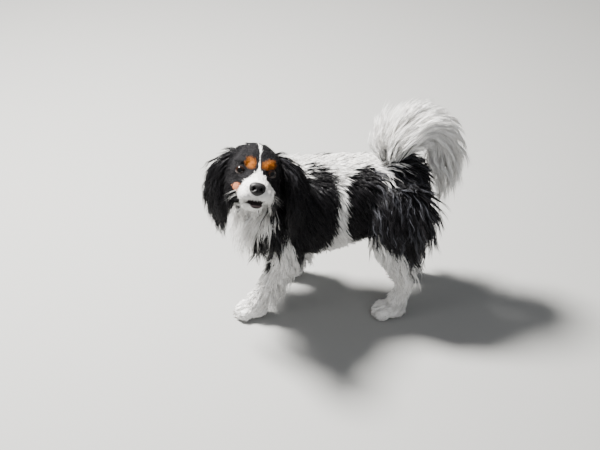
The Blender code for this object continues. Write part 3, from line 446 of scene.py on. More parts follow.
def mesh_places(mesh):
    places = np.empty(len(mesh.vertices) * 3, np.float32)
    mesh.vertices.foreach_get("co", places)
    return places.reshape(-1, 3).astype(float)


def applied(obj):
    """Puts the evaluated mesh in the object's place."""
    graph = bpy.context.evaluated_depsgraph_get()
    mesh = bpy.data.meshes.new_from_object(obj.evaluated_get(graph))
    obj.modifiers.clear()
    obj.data = mesh
    return obj


def blended(name, grids, voxel, smoothing):
    """Several overlapping closed grids as one smooth closed skin."""
    points, faces, count = [], [], 0
    for grid in grids:
        p, f = closed_grid(grid)
        a, b, c = (p[f[:, k]] - p.mean(axis=0) for k in range(3))
        if (a * np.cross(b, c)).sum() < 0:
            f = f[:, ::-1]
        points.append(p)
        faces.append(f + count)
        count += len(p)
    obj = mesh_object(name, np.vstack(points), np.vstack(faces), flip_check=False)
    remesh = obj.modifiers.new("remesh", "REMESH")
    remesh.mode = "VOXEL"
    remesh.voxel_size = voxel
    smooth = obj.modifiers.new("smooth", "SMOOTH")
    smooth.factor = 0.5
    smooth.iterations = smoothing
    return applied(obj)


def united(obj, *others):
    """One closed skin of several, by Boolean unions."""
    for other in others:
        modifier = obj.modifiers.new("union", "BOOLEAN")
        modifier.operation = "UNION"
        modifier.solver = "MANIFOLD"
        modifier.object = other
        applied(obj)
        bpy.data.objects.remove(other)
    return obj


def leg_forms():
    forms = []
    for side, sign in (("left", -1), ("right", 1)):
        rows = [
            (x, sign * (ELBOW_SPREAD if z > ELBOW_HEIGHT else LEG_SPREAD), z, half, front, back)
            for x, z, half, front, back in FORELEG[side]
        ]
        forms.append(Form(f"foreleg_{side}", rows, 40, 24, (-1, 0, 0)))
        shift = RIGHT_HIND_BACK if side == "right" else 0
        rows = []
        for x, z, half, front, back in HINDLEG:
            y = np.interp(z, (HIP_HEIGHT - HIP_RUN, HIP_HEIGHT), (LEG_SPREAD, HIP_SPREAD))
            moved = x + np.interp(z, BACK_HEIGHTS, (shift, 0))
            slim = np.interp(z, THIGH_SLIMMED, (1.0, 0.74))
            rows.append((moved, sign * y, z, half * slim, front, back))
        forms.append(Form(f"hindleg_{side}", rows, 44, 24, (-1, 0, 0)))
    return forms


def body_forms():
    rows = [(x, 0, (top + low) / 2, half, (top - low) / 2, (top - low) / 2) for x, top, low, half in TRUNK]
    trunk = Form("trunk", rows, 50, 40, (0, 0, 1), square_to=(1, 0, 0))
    neck = Form("neck", NECK, 30, 32, (0, 0, 1))
    tail = Form("tail", [(x, y, z, r, r, r) for x, y, z, r in TAIL], 60, 20, (0, 1, 0))
    return [trunk, neck, tail, *leg_forms()]


def ear_forms():
    forms = []
    for side, sign in (("left", -1), ("right", 1)):
        outward = HEAD[:3, :3] @ np.array((EAR_FORWARD, -sign, 0))
        rows = [
            (x, y, z, half * EAR_INSET, thick * EAR_THINNED, thick * EAR_THINNED)
            for x, y, z, half, thick in EARS[side]
        ]
        forms.append(Form(f"ear_{side}", rows, 40, 32, outward))
    return forms


def head_forms():
    rows = []
    for x, top, low, half in SKULL:
        rows.append((x, 0, (top + low) / 2, half, (top - low) / 2, (top - low) / 2))
    skull = Form("head", rows, 60, 48, (0, 0, 1), square_to=(1, 0, 0), matrix=HEAD)
    jaw = Form(
        "head", [(x, 0, z, half, deep, deep) for x, z, half, deep in JAW_ROWS], 30, 28, (0, 0, 1), matrix=HEAD
    )
    return [skull, jaw]


def paw_places():
    """(x, y) of the middle of each paw."""
    places = []
    for side, sign in (("left", -1), ("right", 1)):
        shift = RIGHT_HIND_BACK if side == "right" else 0
        places.append((FORE_PAW_X[side], sign * LEG_SPREAD))
        places.append((HIND_PAW_X + shift, sign * LEG_SPREAD))
    return places


def toe_rows():
    """(forward, across, turn) of each toe from the middle of its paw."""
    rows = []
    for k in range(TOES):
        across = (k - (TOES - 1) / 2) / TOES
        forward = PAW_LENGTH * (0.34 if abs(across) < 0.2 else 0.25)
        rows.append((forward, across * PAW_WIDTH * 0.92, across * 0.5))
    return rows


def paw_grids():
    level = np.eye(4)
    grids = []
    for x, y in paw_places():
        back = x + PAW_LENGTH * 0.16
        grids.append(ball((x, y, 0.0155), (PAW_LENGTH * 0.41, PAW_WIDTH * 0.42, 0.0150), level))
        grids.append(ball((back, y, 0.017), (PAW_LENGTH * 0.27, PAW_WIDTH * 0.38, 0.0165), level))
        grids.append(ball((back, y, 0.034), (0.0145, 0.0140, 0.020), level))
        for forward, across, turn in toe_rows():
            grids.append(ball((x - forward, y + across, 0.0118), (0.0120, 0.0060, 0.0108), level, turn))
    return grids


def toe_grooves(places):
    """How deep in a groove between two toes each place is, from 0 to 1."""
    found = np.zeros(len(places))
    for x, y in paw_places():
        forward, across = x - places[:, 0], places[:, 1] - y
        on_paw = (np.abs(across) < PAW_WIDTH * 0.40) & (forward < PAW_LENGTH * 0.55)
        on_paw = on_paw * smooth_step(0.004, 0.013, forward) * smooth_step(0.002, 0.005, places[:, 2])
        for k in range(1, TOES):
            middle = (k / TOES - 0.5) * PAW_WIDTH * 0.92
            found = np.maximum(found, on_paw * np.exp(-(((across - middle) / 0.0013) ** 2)))
    return found


def head_balls():
    grids = []
    for s in (-1, 1):
        for at, size in ((LIP_AT, LIP_SIZE), (CHEEK_AT, CHEEK_SIZE), (BROW_AT, BROW_SIZE)):
            grids.append(ball((at[0], s * at[1], at[2]), size, HEAD))
    return grids


def mouth_opening(h):
    """How strongly each place of the head is in the line of the mouth, from 0 to 1, with the line
    widest under the nose."""
    line = np.interp(h[:, 0], *zip(*MOUTH_LINE))
    width = np.interp(h[:, 0], (0.026, 0.050, 0.062), (0.0007, 0.0011, 0.0024))
    front = smooth_step(MOUTH_CORNER, MOUTH_CORNER + 0.006, h[:, 0])
    return front * np.exp(-(((h[:, 2] - line + 0.0010) / width) ** 2))


def lip_leather(h):
    """How bare and black each place of the head is as the lower lip's front, from 0 to 1."""
    aside = (h[:, 1] - 0.0035) / 0.0140
    low = -0.0474 + 0.0120 * np.abs(aside) ** 3
    front = 0.050 - 0.026 * aside**2
    across = smooth_step(1.0, 0.92, np.abs(aside)) * smooth_step(front, front + 0.003, h[:, 0])
    return across * smooth_step(low - 0.0004, low + 0.0006, h[:, 2]) * (h[:, 2] < -0.034)


def lip_ridge(h):
    """The rounded edge of the lower lip, from 0 to 1."""
    return lip_leather(h) * np.exp(-(((h[:, 2] + 0.0432) / 0.0013) ** 2))


def carve_head(places, normals):
    """The head's folds, as moves along the normals: the line of the mouth, the groove from the
    nose down the upper lip, the stop between the eyes and the hollows the eyes sit in."""
    h = in_head(places)
    near = (h[:, 0] > -0.01) & (np.abs(h[:, 1]) < 0.06) & (np.abs(h[:, 2]) < 0.07)
    move = -MOUTH_DEPTH * mouth_opening(h) + 0.0014 * lip_ridge(h)
    groove = np.exp(-((h[:, 1] / 0.0011) ** 2)) * smooth_step(0.060, 0.066, h[:, 0])
    move -= 0.0012 * groove * smooth_step(-0.036, -0.031, h[:, 2])
    stop = np.exp(-((h[:, 1] / 0.0050) ** 2) - ((h[:, 0] - 0.033) / 0.010) ** 2)
    move -= 0.0012 * stop * smooth_step(0.000, 0.012, h[:, 2])
    moved = places + normals * (move * near)[:, None]
    for s in (-1, 1):
        offset = moved - eye_place(s)
        away = np.linalg.norm(offset, axis=1)
        ahead, level, up = (offset @ eye_axes(s).T).T
        aside = np.hypot(level, up)
        almond = np.arctan2(aside, ahead) * np.hypot(level, up * EYE_TALL) / np.maximum(aside, 1e-9)
        rim = smooth_step(*SOCKET_EDGE, almond)
        wanted = (1 - rim) * np.minimum(away, EYE_RADIUS * 0.90)
        wanted += rim * np.maximum(away, EYE_RADIUS + SOCKET_DEPTH)
        close = smooth_step(EYE_RADIUS * 1.7, EYE_RADIUS * 1.45, away)
        moved += offset / away[:, None] * ((wanted - away) * close)[:, None]
    return moved


def eye_axes(s):
    """The way one eye looks, its horizontal and its vertical, in the body's frame."""
    turn = math.radians(s * EYE_OUTWARD)
    forward = np.array((math.cos(turn), math.sin(turn), 0))
    level = np.array((-math.sin(turn), math.cos(turn), 0)) * s
    rows = np.stack((forward, level, np.array((0, 0, 1.0))))
    return rows @ HEAD[:3, :3].T


def vertex_normals(mesh):
    normals = np.empty(len(mesh.vertices) * 3, np.float32)
    mesh.vertex_normals.foreach_get("vector", normals)
    return normals.reshape(-1, 3).astype(float)


def make_skin():
    """The flesh of the whole dog as one closed skin, in the body's frame."""
    forms = body_forms()
    body = blended("skin", [form.grid() for form in forms], BODY_VOXEL, 16)
    fine = [form.grid() for form in (*head_forms(), *ear_forms())] + head_balls()
    head = blended("head_skin", fine, FINE_VOXEL, 10)
    places = mesh_places(head.data)
    places = carve_head(places, vertex_normals(head.data))
    head.data.vertices.foreach_set("co", places.astype(np.float32).ravel())
    paws = blended("paw_skin", paw_grids(), PAW_VOXEL, 3)
    places = mesh_places(paws.data)
    places -= vertex_normals(paws.data) * (TOE_GROOVE * toe_grooves(places))[:, None]
    paws.data.vertices.foreach_set("co", places.astype(np.float32).ravel())
    skin = united(body, head, paws)
    triangulate = skin.modifiers.new("triangles", "TRIANGULATE")
    triangulate.keep_custom_normals = False
    applied(skin)
    places = mesh_places(skin.data)
    places[:, 2] = np.maximum(places[:, 2], 0.0006)
    skin.data.vertices.foreach_set("co", places.astype(np.float32).ravel())
    skin.data.update()
    return skin


def unwrap(obj):
    """A plain unwrap of the object's own shape, by the way that its faces look."""
    bpy.context.view_layer.objects.active = obj
    obj.select_set(True)
    bpy.ops.object.mode_set(mode="EDIT")
    bpy.ops.mesh.select_all(action="SELECT")
    bpy.ops.uv.smart_project(angle_limit=math.radians(66), island_margin=0.002)
    bpy.ops.object.mode_set(mode="OBJECT")
    obj.select_set(False)


SHOULDER_PATCH = (
    # x, degrees round the trunk from its left side, 90 at the top
    (-0.056, 79), (-0.052, 85), (-0.031, 82), (-0.014, 74), (-0.003, 62), (0.001, 48),
    (0.001, 25), (-0.001, 8), (-0.005, -15), (-0.014, -35), (-0.034, -62), (-0.062, -85),
    (-0.100, -90),
    (-0.151, -90), (-0.151, -62), (-0.140, -24), (-0.130, -1), (-0.114, 10), (-0.111, 24),
    (-0.100, 50), (-0.075, 62), (-0.062, 70), (-0.050, 58), (-0.047, 69),
)
HIND_PATCH = (
    (0.044, 80), (0.036, 74), (0.020, 65), (0.014, 55), (0.012, 40), (0.012, 9), (0.012, -22),
    (0.016, -40), (0.032, -62), (0.070, -100), (0.200, -100), (0.200, 130), (0.110, 104), (0.087, 82),
    (0.060, 77),
)
WHITE_HOOK = (
    (0.060, 76), (0.074, 71), (0.078, 66), (0.081, 57), (0.074, 46), (0.084, 47), (0.093, 57),
    (0.099, 66), (0.096, 74), (0.085, 79), (0.072, 84), (0.060, 90),
)
WHITE_NOTCH = ((0.052, 90), (0.055, 74))
WHITE_CURL = ((-0.047, 80), (-0.041, 73), (-0.044, 66))
# The near foreleg is white under a wedge: x and height of its edge.
LEG_WEDGE = ((-0.151, 0.090), (-0.130, 0.099), (-0.112, 0.130), (-0.086, 0.180), (-0.078, 0.138), (-0.071, 0.106))
ARC = 0.0012  # metres of skin to a degree round the trunk
BLAZE = (
    # height in the head's frame, half width
    (-0.040, 0.040), (-0.018, 0.034), (-0.010, 0.0265), (-0.005, 0.0210), (0.003, 0.0145),
    (0.0115, 0.0044), (0.018, 0.0018), (0.024, 0.00062), (0.037, 0.0006), (0.043, 0.0022),
    (0.060, 0.0026),
)
BIB_EDGE = ((0.168, -0.142), (0.190, -0.122), (0.210, -0.106), (0.238, -0.102), (0.262, -0.103))
BROW_SPOTS = (
    # middle y, z, half width, half height
    (-0.0110, 0.0242, 0.0108, 0.0090),
    (0.0212, 0.0236, 0.0138, 0.0086),
)
CHEEK_PATCH = (0.034, -0.0300, -0.0208, 0.0090)


def inside(outline, x, y):
    """Whether each point is inside an outline, by the number of its edges to the right."""
    outline = np.asarray(outline, float)
    found = np.zeros(len(x), bool)
    for (ax, ay), (bx, by) in zip(outline, np.roll(outline, -1, axis=0)):
        crosses = (ay > y) != (by > y)
        with np.errstate(divide="ignore", invalid="ignore"):
            at = ax + (y - ay) * (bx - ax) / (by - ay)
        found ^= crosses & (x < at)
    return found


def distance_to(line, x, y):
    """Distance from each point to a line of straight runs."""
    best = np.full(len(x), 1e9)
    for (ax, ay), (bx, by) in zip(line, line[1:]):
        dx, dy = bx - ax, by - ay
        t = np.clip(((x - ax) * dx + (y - ay) * dy) / (dx * dx + dy * dy), 0, 1)
        best = np.minimum(best, np.hypot(x - ax - t * dx, y - ay - t * dy))
    return best


def head_markings(h, wander):
    """Colours on the head: black, with a white muzzle and blaze, tan spots over the eyes and a
    pink-tan cheek."""
    colour = np.tile(BLACK, (len(h), 1))
    x, y, z = h[:, 0], h[:, 1], h[:, 2]
    middle = np.interp(z, (0.0, 0.010), (0.001, 0.0047))
    half = np.interp(z, *zip(*BLAZE))
    back = np.interp(z, (-0.060, -0.038, -0.018, 0.0, 0.030, 0.045), (-0.004, 0.016, 0.027, 0.033, 0.015, -0.030))
    white = (np.abs(y - middle) < half + wander * 0.0004) & (x > back + wander * 0.002)
    right = (y < 0) & (z < 0.004) & (x < np.interp(z, (-0.040, -0.030, -0.012, 0.004), (0.030, 0.039, 0.043, 0.045)))
    far_side = np.interp(x, (0.005, 0.030), (-0.017, -0.024))
    near_side = np.interp(x, (0.005, 0.030), (0.040, 0.028))
    low = np.where(y > 0.012, -0.032, -0.038) + wander * 0.002
    chin = (z < low) & (x > -0.045) & (y > far_side) & (y < near_side)
    white = (white & ~right) | chin
    colour[white] = WHITE
    for my, mz, hy, hz in BROW_SPOTS:
        spot = np.sqrt(((y - my) / hy) ** 2 + ((z - mz) / hz) ** 2) + wander * 0.06
        tan = (spot < 1) & (x > 0.008) & ~white
        colour[tan] = np.array(TAN) * (1.25 - 0.90 * smooth_step(0.35, 1.0, spot[tan]))[:, None]
    cx, cy, cz, radius = CHEEK_PATCH
    cheek = np.sqrt((x - cx) ** 2 + (y - cy) ** 2 + (z - cz) ** 2) < radius * (1 + 0.15 * wander)
    colour[cheek & ~white] = PINK_TAN
    return colour


def body_markings(p, n, label, wander):
    """Colours on the body, by place, way the skin looks and body part."""
    colour = np.tile(WHITE, (len(p), 1))
    x, y, z = p[:, 0] + wander * 0.0022, p[:, 1], p[:, 2]
    left = y < 0.012
    side = np.where(left, -y, y)
    angle = np.degrees(np.arctan2(z - 0.205, side)) * ARC + wander * 0.002
    angle += np.where(left, 0.0, 12 * ARC)
    shift = np.where(left, 0.0, -0.010)
    shoulder = inside([(a, b * ARC) for a, b in SHOULDER_PATCH], x + shift, angle)
    hind = inside([(a, b * ARC) for a, b in HIND_PATCH], x + shift * 0.6, angle)
    hook = inside([(a, b * ARC) for a, b in WHITE_HOOK], x, angle) & left
    notch = (distance_to([(a, b * ARC) for a, b in WHITE_NOTCH], x, angle) < 0.0040) & left
    curl = (distance_to([(a, b * ARC) for a, b in WHITE_CURL], x, angle) < 0.0018) & left
    trunk = np.isin(label, ("trunk", "chest", "belly"))
    black = trunk & ((shoulder & ~curl) | (hind & ~hook & ~notch))
    black &= ~((label == "belly") & (n[:, 2] < -0.75) & (p[:, 0] < 0.085))
    outer = y * n[:, 1] > -0.003
    leg_edge = np.interp(x, *zip(*LEG_WEDGE))
    for name in ("foreleg_left", "foreleg_right"):
        black |= (label == name) & (z > leg_edge + wander * 0.003) & (x > -0.150) & (z > 0.10) & outer
    bib_edge = np.interp(z, *zip(*BIB_EDGE)) + wander * 0.002
    black &= ~((label == "foreleg_left") & (x < bib_edge) & (z > BIB_EDGE[0][0]))
    for name in ("hindleg_left", "hindleg_right"):
        behind = np.interp(x, (0.075, 0.110, 0.125), (0.160, 0.125, 0.070))
        black |= (label == name) & (z > behind + wander * 0.003) & ~hook
    throat = n @ unit(np.array((-0.80, -0.45, -0.45)))
    stripe = (p[:, 0] > -0.092) & (angle > 50 * ARC)
    side_black = (throat < 0.30 + wander * 0.05) | ((x > bib_edge) & (y < -0.03) & (z < 0.262))
    black |= (label == "neck") & side_black & ~stripe
    black |= np.isin(label, ("ear_left", "ear_right"))
    colour[black] = BLACK
    return colour


def markings(roots, n, label, lie, length, height):
    """The coat's own colour at each root, before light. Outlines are given where hair shows, which
    is along its lie from its root and out at its own height."""
    p = roots + lie * np.minimum(length * SHOWN, FARTHEST_SHOWN)[:, None] + n * height[:, None] * SHOWN
    wander = ripple(p, 0.016, 5) + 0.5 * ripple(p, 0.005, 6)
    colour = body_markings(p, n, label, wander)
    head = label == "head"
    colour[head] = head_markings(in_head(p[head]), wander[head])
    return colour


class Pelt:
    """The skin's surface as arrays, with what grows at each of its points."""

    def __init__(self, skin):
        mesh = skin.data
        self.places = mesh_places(mesh)
        self.normals = vertex_normals(mesh)
        mesh.calc_loop_triangles()
        count = len(mesh.loop_triangles)
        corners = np.empty(count * 3, np.int32)
        mesh.loop_triangles.foreach_get("vertices", corners)
        self.triangles = corners.reshape(-1, 3)
        loops = np.empty(count * 3, np.int32)
        mesh.loop_triangles.foreach_get("loops", loops)
        uv = np.empty(len(mesh.loops) * 2, np.float32)
        mesh.uv_layers[0].uv.foreach_get("vector", uv)
        self.uv = uv.reshape(-1, 2)[loops].reshape(-1, 3, 2)
        a, b, c = (self.places[self.triangles[:, k]] for k in range(3))
        self.areas = np.linalg.norm(np.cross(b - a, c - a), axis=1) / 2
        self.skin = BVHTree.FromPolygons(self.places.tolist(), self.triangles.tolist())
        self.name_parts()
        self.set_lie()
        self.soften()
        self.face_lie = unit(self.lie[self.triangles].mean(axis=1))

    def name_parts(self):
        """The body part at each point is the form whose surface is nearest."""
        forms = [*body_forms(), *ear_forms(), *head_forms()]
        count = len(self.places)
        best = np.full(count, 1e9)
        self.part = np.full(count, "", object)
        self.share = np.zeros(count)
        self.along, self.away = np.zeros((count, 3)), np.zeros((count, 3))
        for form in forms:
            outside, share, along, away = form.closeness(self.places)
            if form.label == "head":
                outside -= 0.006
            nearer = outside < best
            best[nearer] = outside[nearer]
            self.part[nearer] = form.label
            self.share[nearer] = share[nearer]
            self.along[nearer], self.away[nearer] = along[nearer], away[nearer]
        self.part[(self.places[:, 2] < 0.034)] = "paw"
        self.part = self.part.astype(str)

    def set_lie(self):
        """The coat at each point: its sort, and the way it lies."""
        p, n = self.places, self.normals
        count = len(p)
        lie = np.zeros((count, 3))
        sort = np.full(count, "trunk", object)
        part = self.part
        h = in_head(p)
        height = p[:, 2]

        trunk = part == "trunk"
        down = smooth_step(0.290, 0.245, height)[:, None]
        lie[trunk] = ((1 - down) * (1.0, 0, -0.15) + down * (0.50, 0, -0.85))[trunk]
        chest = trunk & (p[:, 0] < -0.105) & (n[:, 0] < -0.15)
        sort[chest] = "chest"
        lie[chest] = (-0.28, -0.06, -0.95)
        belly = trunk & (n[:, 2] < -0.35)
        sort[belly] = "belly"
        lie[belly] = (0.40, 0, -0.92)
        low_chest = belly & (p[:, 0] < -0.100)
        sort[low_chest] = "chest"
        shoulder = trunk & (p[:, 0] < -0.035) & (height < 0.262) & ~chest & ~belly
        sort[shoulder] = "shoulder"
        rump = trunk & (p[:, 0] > 0.045) & ~belly & ((height < 0.284) | (p[:, 0] > 0.095))
        sort[rump] = "thigh"
        sort[rump & (p[:, 0] > 0.122) & (height < 0.268)] = "breeches"
        steep = smooth_step(0.060, 0.120, p[:, 0])[:, None]
        backward = (1 - steep) * (0.50, 0, -0.80) + steep * (0.12, 0, -1.0)
        lie[rump] = backward[rump]

        neck = part == "neck"
        sort[neck] = "neck"
        throat = neck & (n @ unit(np.array((-0.8, -0.45, -0.45))) > 0.2)
        lie[neck] = (0.45, 0.15, -0.88)
        sort[throat] = "chest"
        lie[throat] = (-0.22, -0.08, -0.97)

        for side in ("left", "right"):
            leg = part == f"foreleg_{side}"
            sort[leg] = "foreleg"
            lie[leg] = self.along[leg]
            upper = leg & (height > 0.140)
            sort[upper] = "shoulder"
            lie[upper] = (0.15, 0, -1.0)
            fringe = leg & (n[:, 0] > 0.35) & (height > 0.050) & (height < 0.150)
            sort[fringe] = "feather"
            lie[fringe] = (0.55, 0, -0.83)
            leg = part == f"hindleg_{side}"
            sort[leg] = "hindleg"
            lie[leg] = self.along[leg]
            upper = leg & (height > 0.150)
            sort[upper] = "thigh"
            lie[upper] = backward[upper]
            behind = leg & (n[:, 0] > 0.25) & (height > 0.125)
            sort[behind] = "breeches"
            lie[behind] = (0.12, 0, -1.0)
            hock = leg & (n[:, 0] > 0.55) & (height > 0.050) & (height <= 0.135)
            lie[hock] = (0.25, 0, -0.97)
            ear = part == f"ear_{side}"
            sort[ear] = "ear"
            lie[ear] = self.along[ear] + 0.30 * self.away[ear]
            lie[ear, 2] -= 0.6 + 0.9 * smooth_step(0.35, 0.0, self.share[ear])

        tail = part == "tail"
        sort[tail] = "tail"
        lie[tail] = self.along[tail] + 0.10 * self.away[tail]

        paw = part == "paw"
        sort[paw] = "paw"
        lie[paw] = (-0.85, 0, -0.50)

        head = part == "head"
        sort[head] = "head"
        lie[head] = self.head_lie(h)[head]

        self.sort = sort.astype(str)
        self.lie = lie
        rear = np.isin(self.sort, ("thigh", "breeches")) & (p[:, 0] > 0.100)
        self.fields = {
            name: np.array([COATS[s][name] for s in self.sort], float) for name in FIELDS
        }
        rear_high = rear * smooth_step(0.175, 0.215, height)
        self.fields["droop"][rear] = 2.2
        self.fields["length"] *= 1 - 0.12 * rear_high
        self.fields["height"] *= 1 - 0.10 * rear_high
        self.vary(h)

    def head_lie(self, h):
        """On the head hair runs back from the nose, parts round the eyes, and falls behind the
        cheeks."""
        x, y, z = h[:, 0], h[:, 1], h[:, 2]
        lie = np.stack((-np.ones(len(h)), 0.25 * np.sign(y), 0.20 * (z > -0.01) - 0.5 * (z < -0.01)), axis=1)
        back = smooth_step(0.018, -0.016, x)[:, None]
        aside = np.sign(y) * smooth_step(0.0, 0.012, np.abs(y))
        fall = smooth_step(0.050, 0.030, z)
        behind = np.stack((-0.75 + 0.2 * fall, 0.85 * aside, -0.35 - 1.0 * fall), axis=1)
        lie = (1 - back) * lie + back * behind
        for s in (-1, 1):
            offset = h - np.array((EYE_AT[0], s * EYE_AT[1], EYE_AT[2]))
            away = np.linalg.norm(offset, axis=1, keepdims=True)
            round_eye = np.exp(-((away / 0.014) ** 2))
            lie = lie * (1 - round_eye) + round_eye * 1.6 * unit(offset + (0, 0.004 * s, 0))
        nose = h - np.array(NOSE_AT)
        near = np.exp(-((np.linalg.norm(nose, axis=1, keepdims=True) / 0.016) ** 2))
        lie = lie * (1 - near) + near * unit(nose + (-0.004, 0, 0))
        return lie @ HEAD[:3, :3].T

    def vary(self, h):
        """Hair is shortest on the face and feet, and longest at the ends of ears and tail."""
        f, share = self.fields, self.share
        head = self.part == "head"
        x, y, z = h[head].T
        front = smooth_step(-0.030, 0.045, x)
        crown = smooth_step(0.030, 0.0, x) * smooth_step(0.0, 0.030, z)
        f["length"][head] = 0.0060 + 0.020 * smooth_step(0.026, -0.012, x) + 0.004 * crown
        f["height"][head] = 0.0012 + 0.0030 * smooth_step(0.024, -0.015, x) + 0.0004 * crown
        cheek = smooth_step(0.034, 0.014, x) * smooth_step(0.004, -0.016, z)
        f["length"][head] += 0.007 * cheek
        f["width"][head] = 0.00115 - 0.0005 * front
        f["density"][head] = 50 + 26 * front + 26 * crown + 10 * cheek
        f["clump"][head] = 0.50 - 0.35 * front
        f["wave"][head] = 0.0016 * smooth_step(0.015, -0.015, x)
        f["waves"][head] = 1.4
        chin = (z < -0.046) & (x < 0.050)
        f["length"][head] += 0.005 * chin
        eye_room = np.ones(len(x))
        for s in (-1, 1):
            offset = h[head] - np.array((EYE_AT[0], s * EYE_AT[1], EYE_AT[2]))
            gap = np.linalg.norm(offset, axis=1)
            eye_room *= smooth_step(0.0085, 0.0106, gap)
            f["length"][head] *= 0.45 + 0.55 * smooth_step(0.010, 0.020, gap)
        nose_gap = np.linalg.norm((h[head] - np.array(NOSE_AT)) / (1.0, 1.25, 1.0), axis=1)
        eye_room *= smooth_step(0.0095, 0.0115, nose_gap)
        eye_room *= 1 - smooth_step(0.03, 0.2, mouth_opening(h[head]))
        eye_room *= 1 - lip_leather(h[head])
        f["density"][head] *= eye_room
        f["length"][head] *= 0.55 + 0.45 * smooth_step(0.010, 0.022, nose_gap)

        ear = self.sort == "ear"
        f["length"][ear] = np.interp(share[ear], (0, 0.25, 0.6, 1), (0.034, 0.050, 0.060, 0.056))
        f["height"][ear] = np.interp(share[ear], (0, 0.2, 0.5), (0.0035, 0.0055, 0.0068))
        tail = self.sort == "tail"
        f["length"][tail] = np.interp(
            share[tail], (0, 0.10, 0.3, 0.5, 0.8, 1), (0.050, 0.070, 0.064, 0.062, 0.092, 0.104)
        )
        f["density"][tail] *= np.interp(share[tail], (0, 0.5, 0.8, 1), (0.9, 0.9, 1.3, 1.6))
        f["height"][tail] = np.interp(
            share[tail], (0, 0.10, 0.3, 0.5, 0.75, 1), (0.028, 0.034, 0.018, 0.018, 0.028, 0.030)
        )
        paw = self.sort == "paw"
        sole = paw & (self.normals[:, 2] < -0.5)
        f["density"][sole] = 0
        f["density"][paw] *= 1 - 0.85 * toe_grooves(self.places[paw])
        f["length"][paw] = np.where(self.places[paw][:, 2] > 0.020, 0.011, 0.0065)
        cut = self.places[:, 2] < 0.003
        f["density"][cut] = 0

    def soften(self):
        """Evens the coat's fields out over the skin, where one sort meets the next."""
        edges = np.vstack((self.triangles[:, :2], self.triangles[:, 1:], self.triangles[:, ::2]))
        count = len(self.places)
        degree = np.bincount(edges.ravel(), minlength=count).astype(float)

        def once(values):
            total = np.bincount(edges[:, 0], values[edges[:, 1]], count)
            total += np.bincount(edges[:, 1], values[edges[:, 0]], count)
            return 0.5 * values + 0.5 * total / np.maximum(degree, 1)

        flat = self.lie - self.normals * dot(self.lie, self.normals)
        on_tail = (self.part == "tail")[:, None]
        self.lie = unit(np.where(on_tail, self.lie, flat + 0.1 * self.lie))
        for _ in range(24):
            self.lie = np.stack([once(self.lie[:, k]) for k in range(3)], axis=1)
        self.lie = unit(self.lie)
        for name in ("length", "height", "width", "clump", "wave"):
            for _ in range(10):
                self.fields[name] = once(self.fields[name])

    def roots(self, chosen, density, rng):
        """Roots spread at random over the chosen triangles, so many to a square centimetre."""
        per_face = density[self.triangles].mean(axis=1) * 1e4 * self.areas * chosen
        count = int(round(per_face.sum()))
        face = np.sort(rng.choice(len(per_face), count, p=per_face / per_face.sum()))
        a, b = rng.random(count), rng.random(count)
        flip = a + b > 1
        a[flip], b[flip] = 1 - a[flip], 1 - b[flip]
        return face, np.stack((1 - a - b, a, b), axis=1)

    def read(self, values, face, weights):
        """A field's value at places inside triangles."""
        corners = values[self.triangles[face]]
        if corners.ndim == 2:
            return (corners * weights).sum(axis=1)
        return (corners * weights[:, :, None]).sum(axis=1)

    def nearest(self, points):
        """For each point: the nearest place on the skin, the way it looks, and its triangle."""
        found = [self.skin.find_nearest(p) for p in points.tolist()]
        face = np.array([f[2] for f in found])
        return np.array([f[0] for f in found]), np.array([f[1] for f in found]), face


def root_sink(length):
    """How far under the skin hair starts."""
    return (0.0003 + 0.022 * length)[:, None]


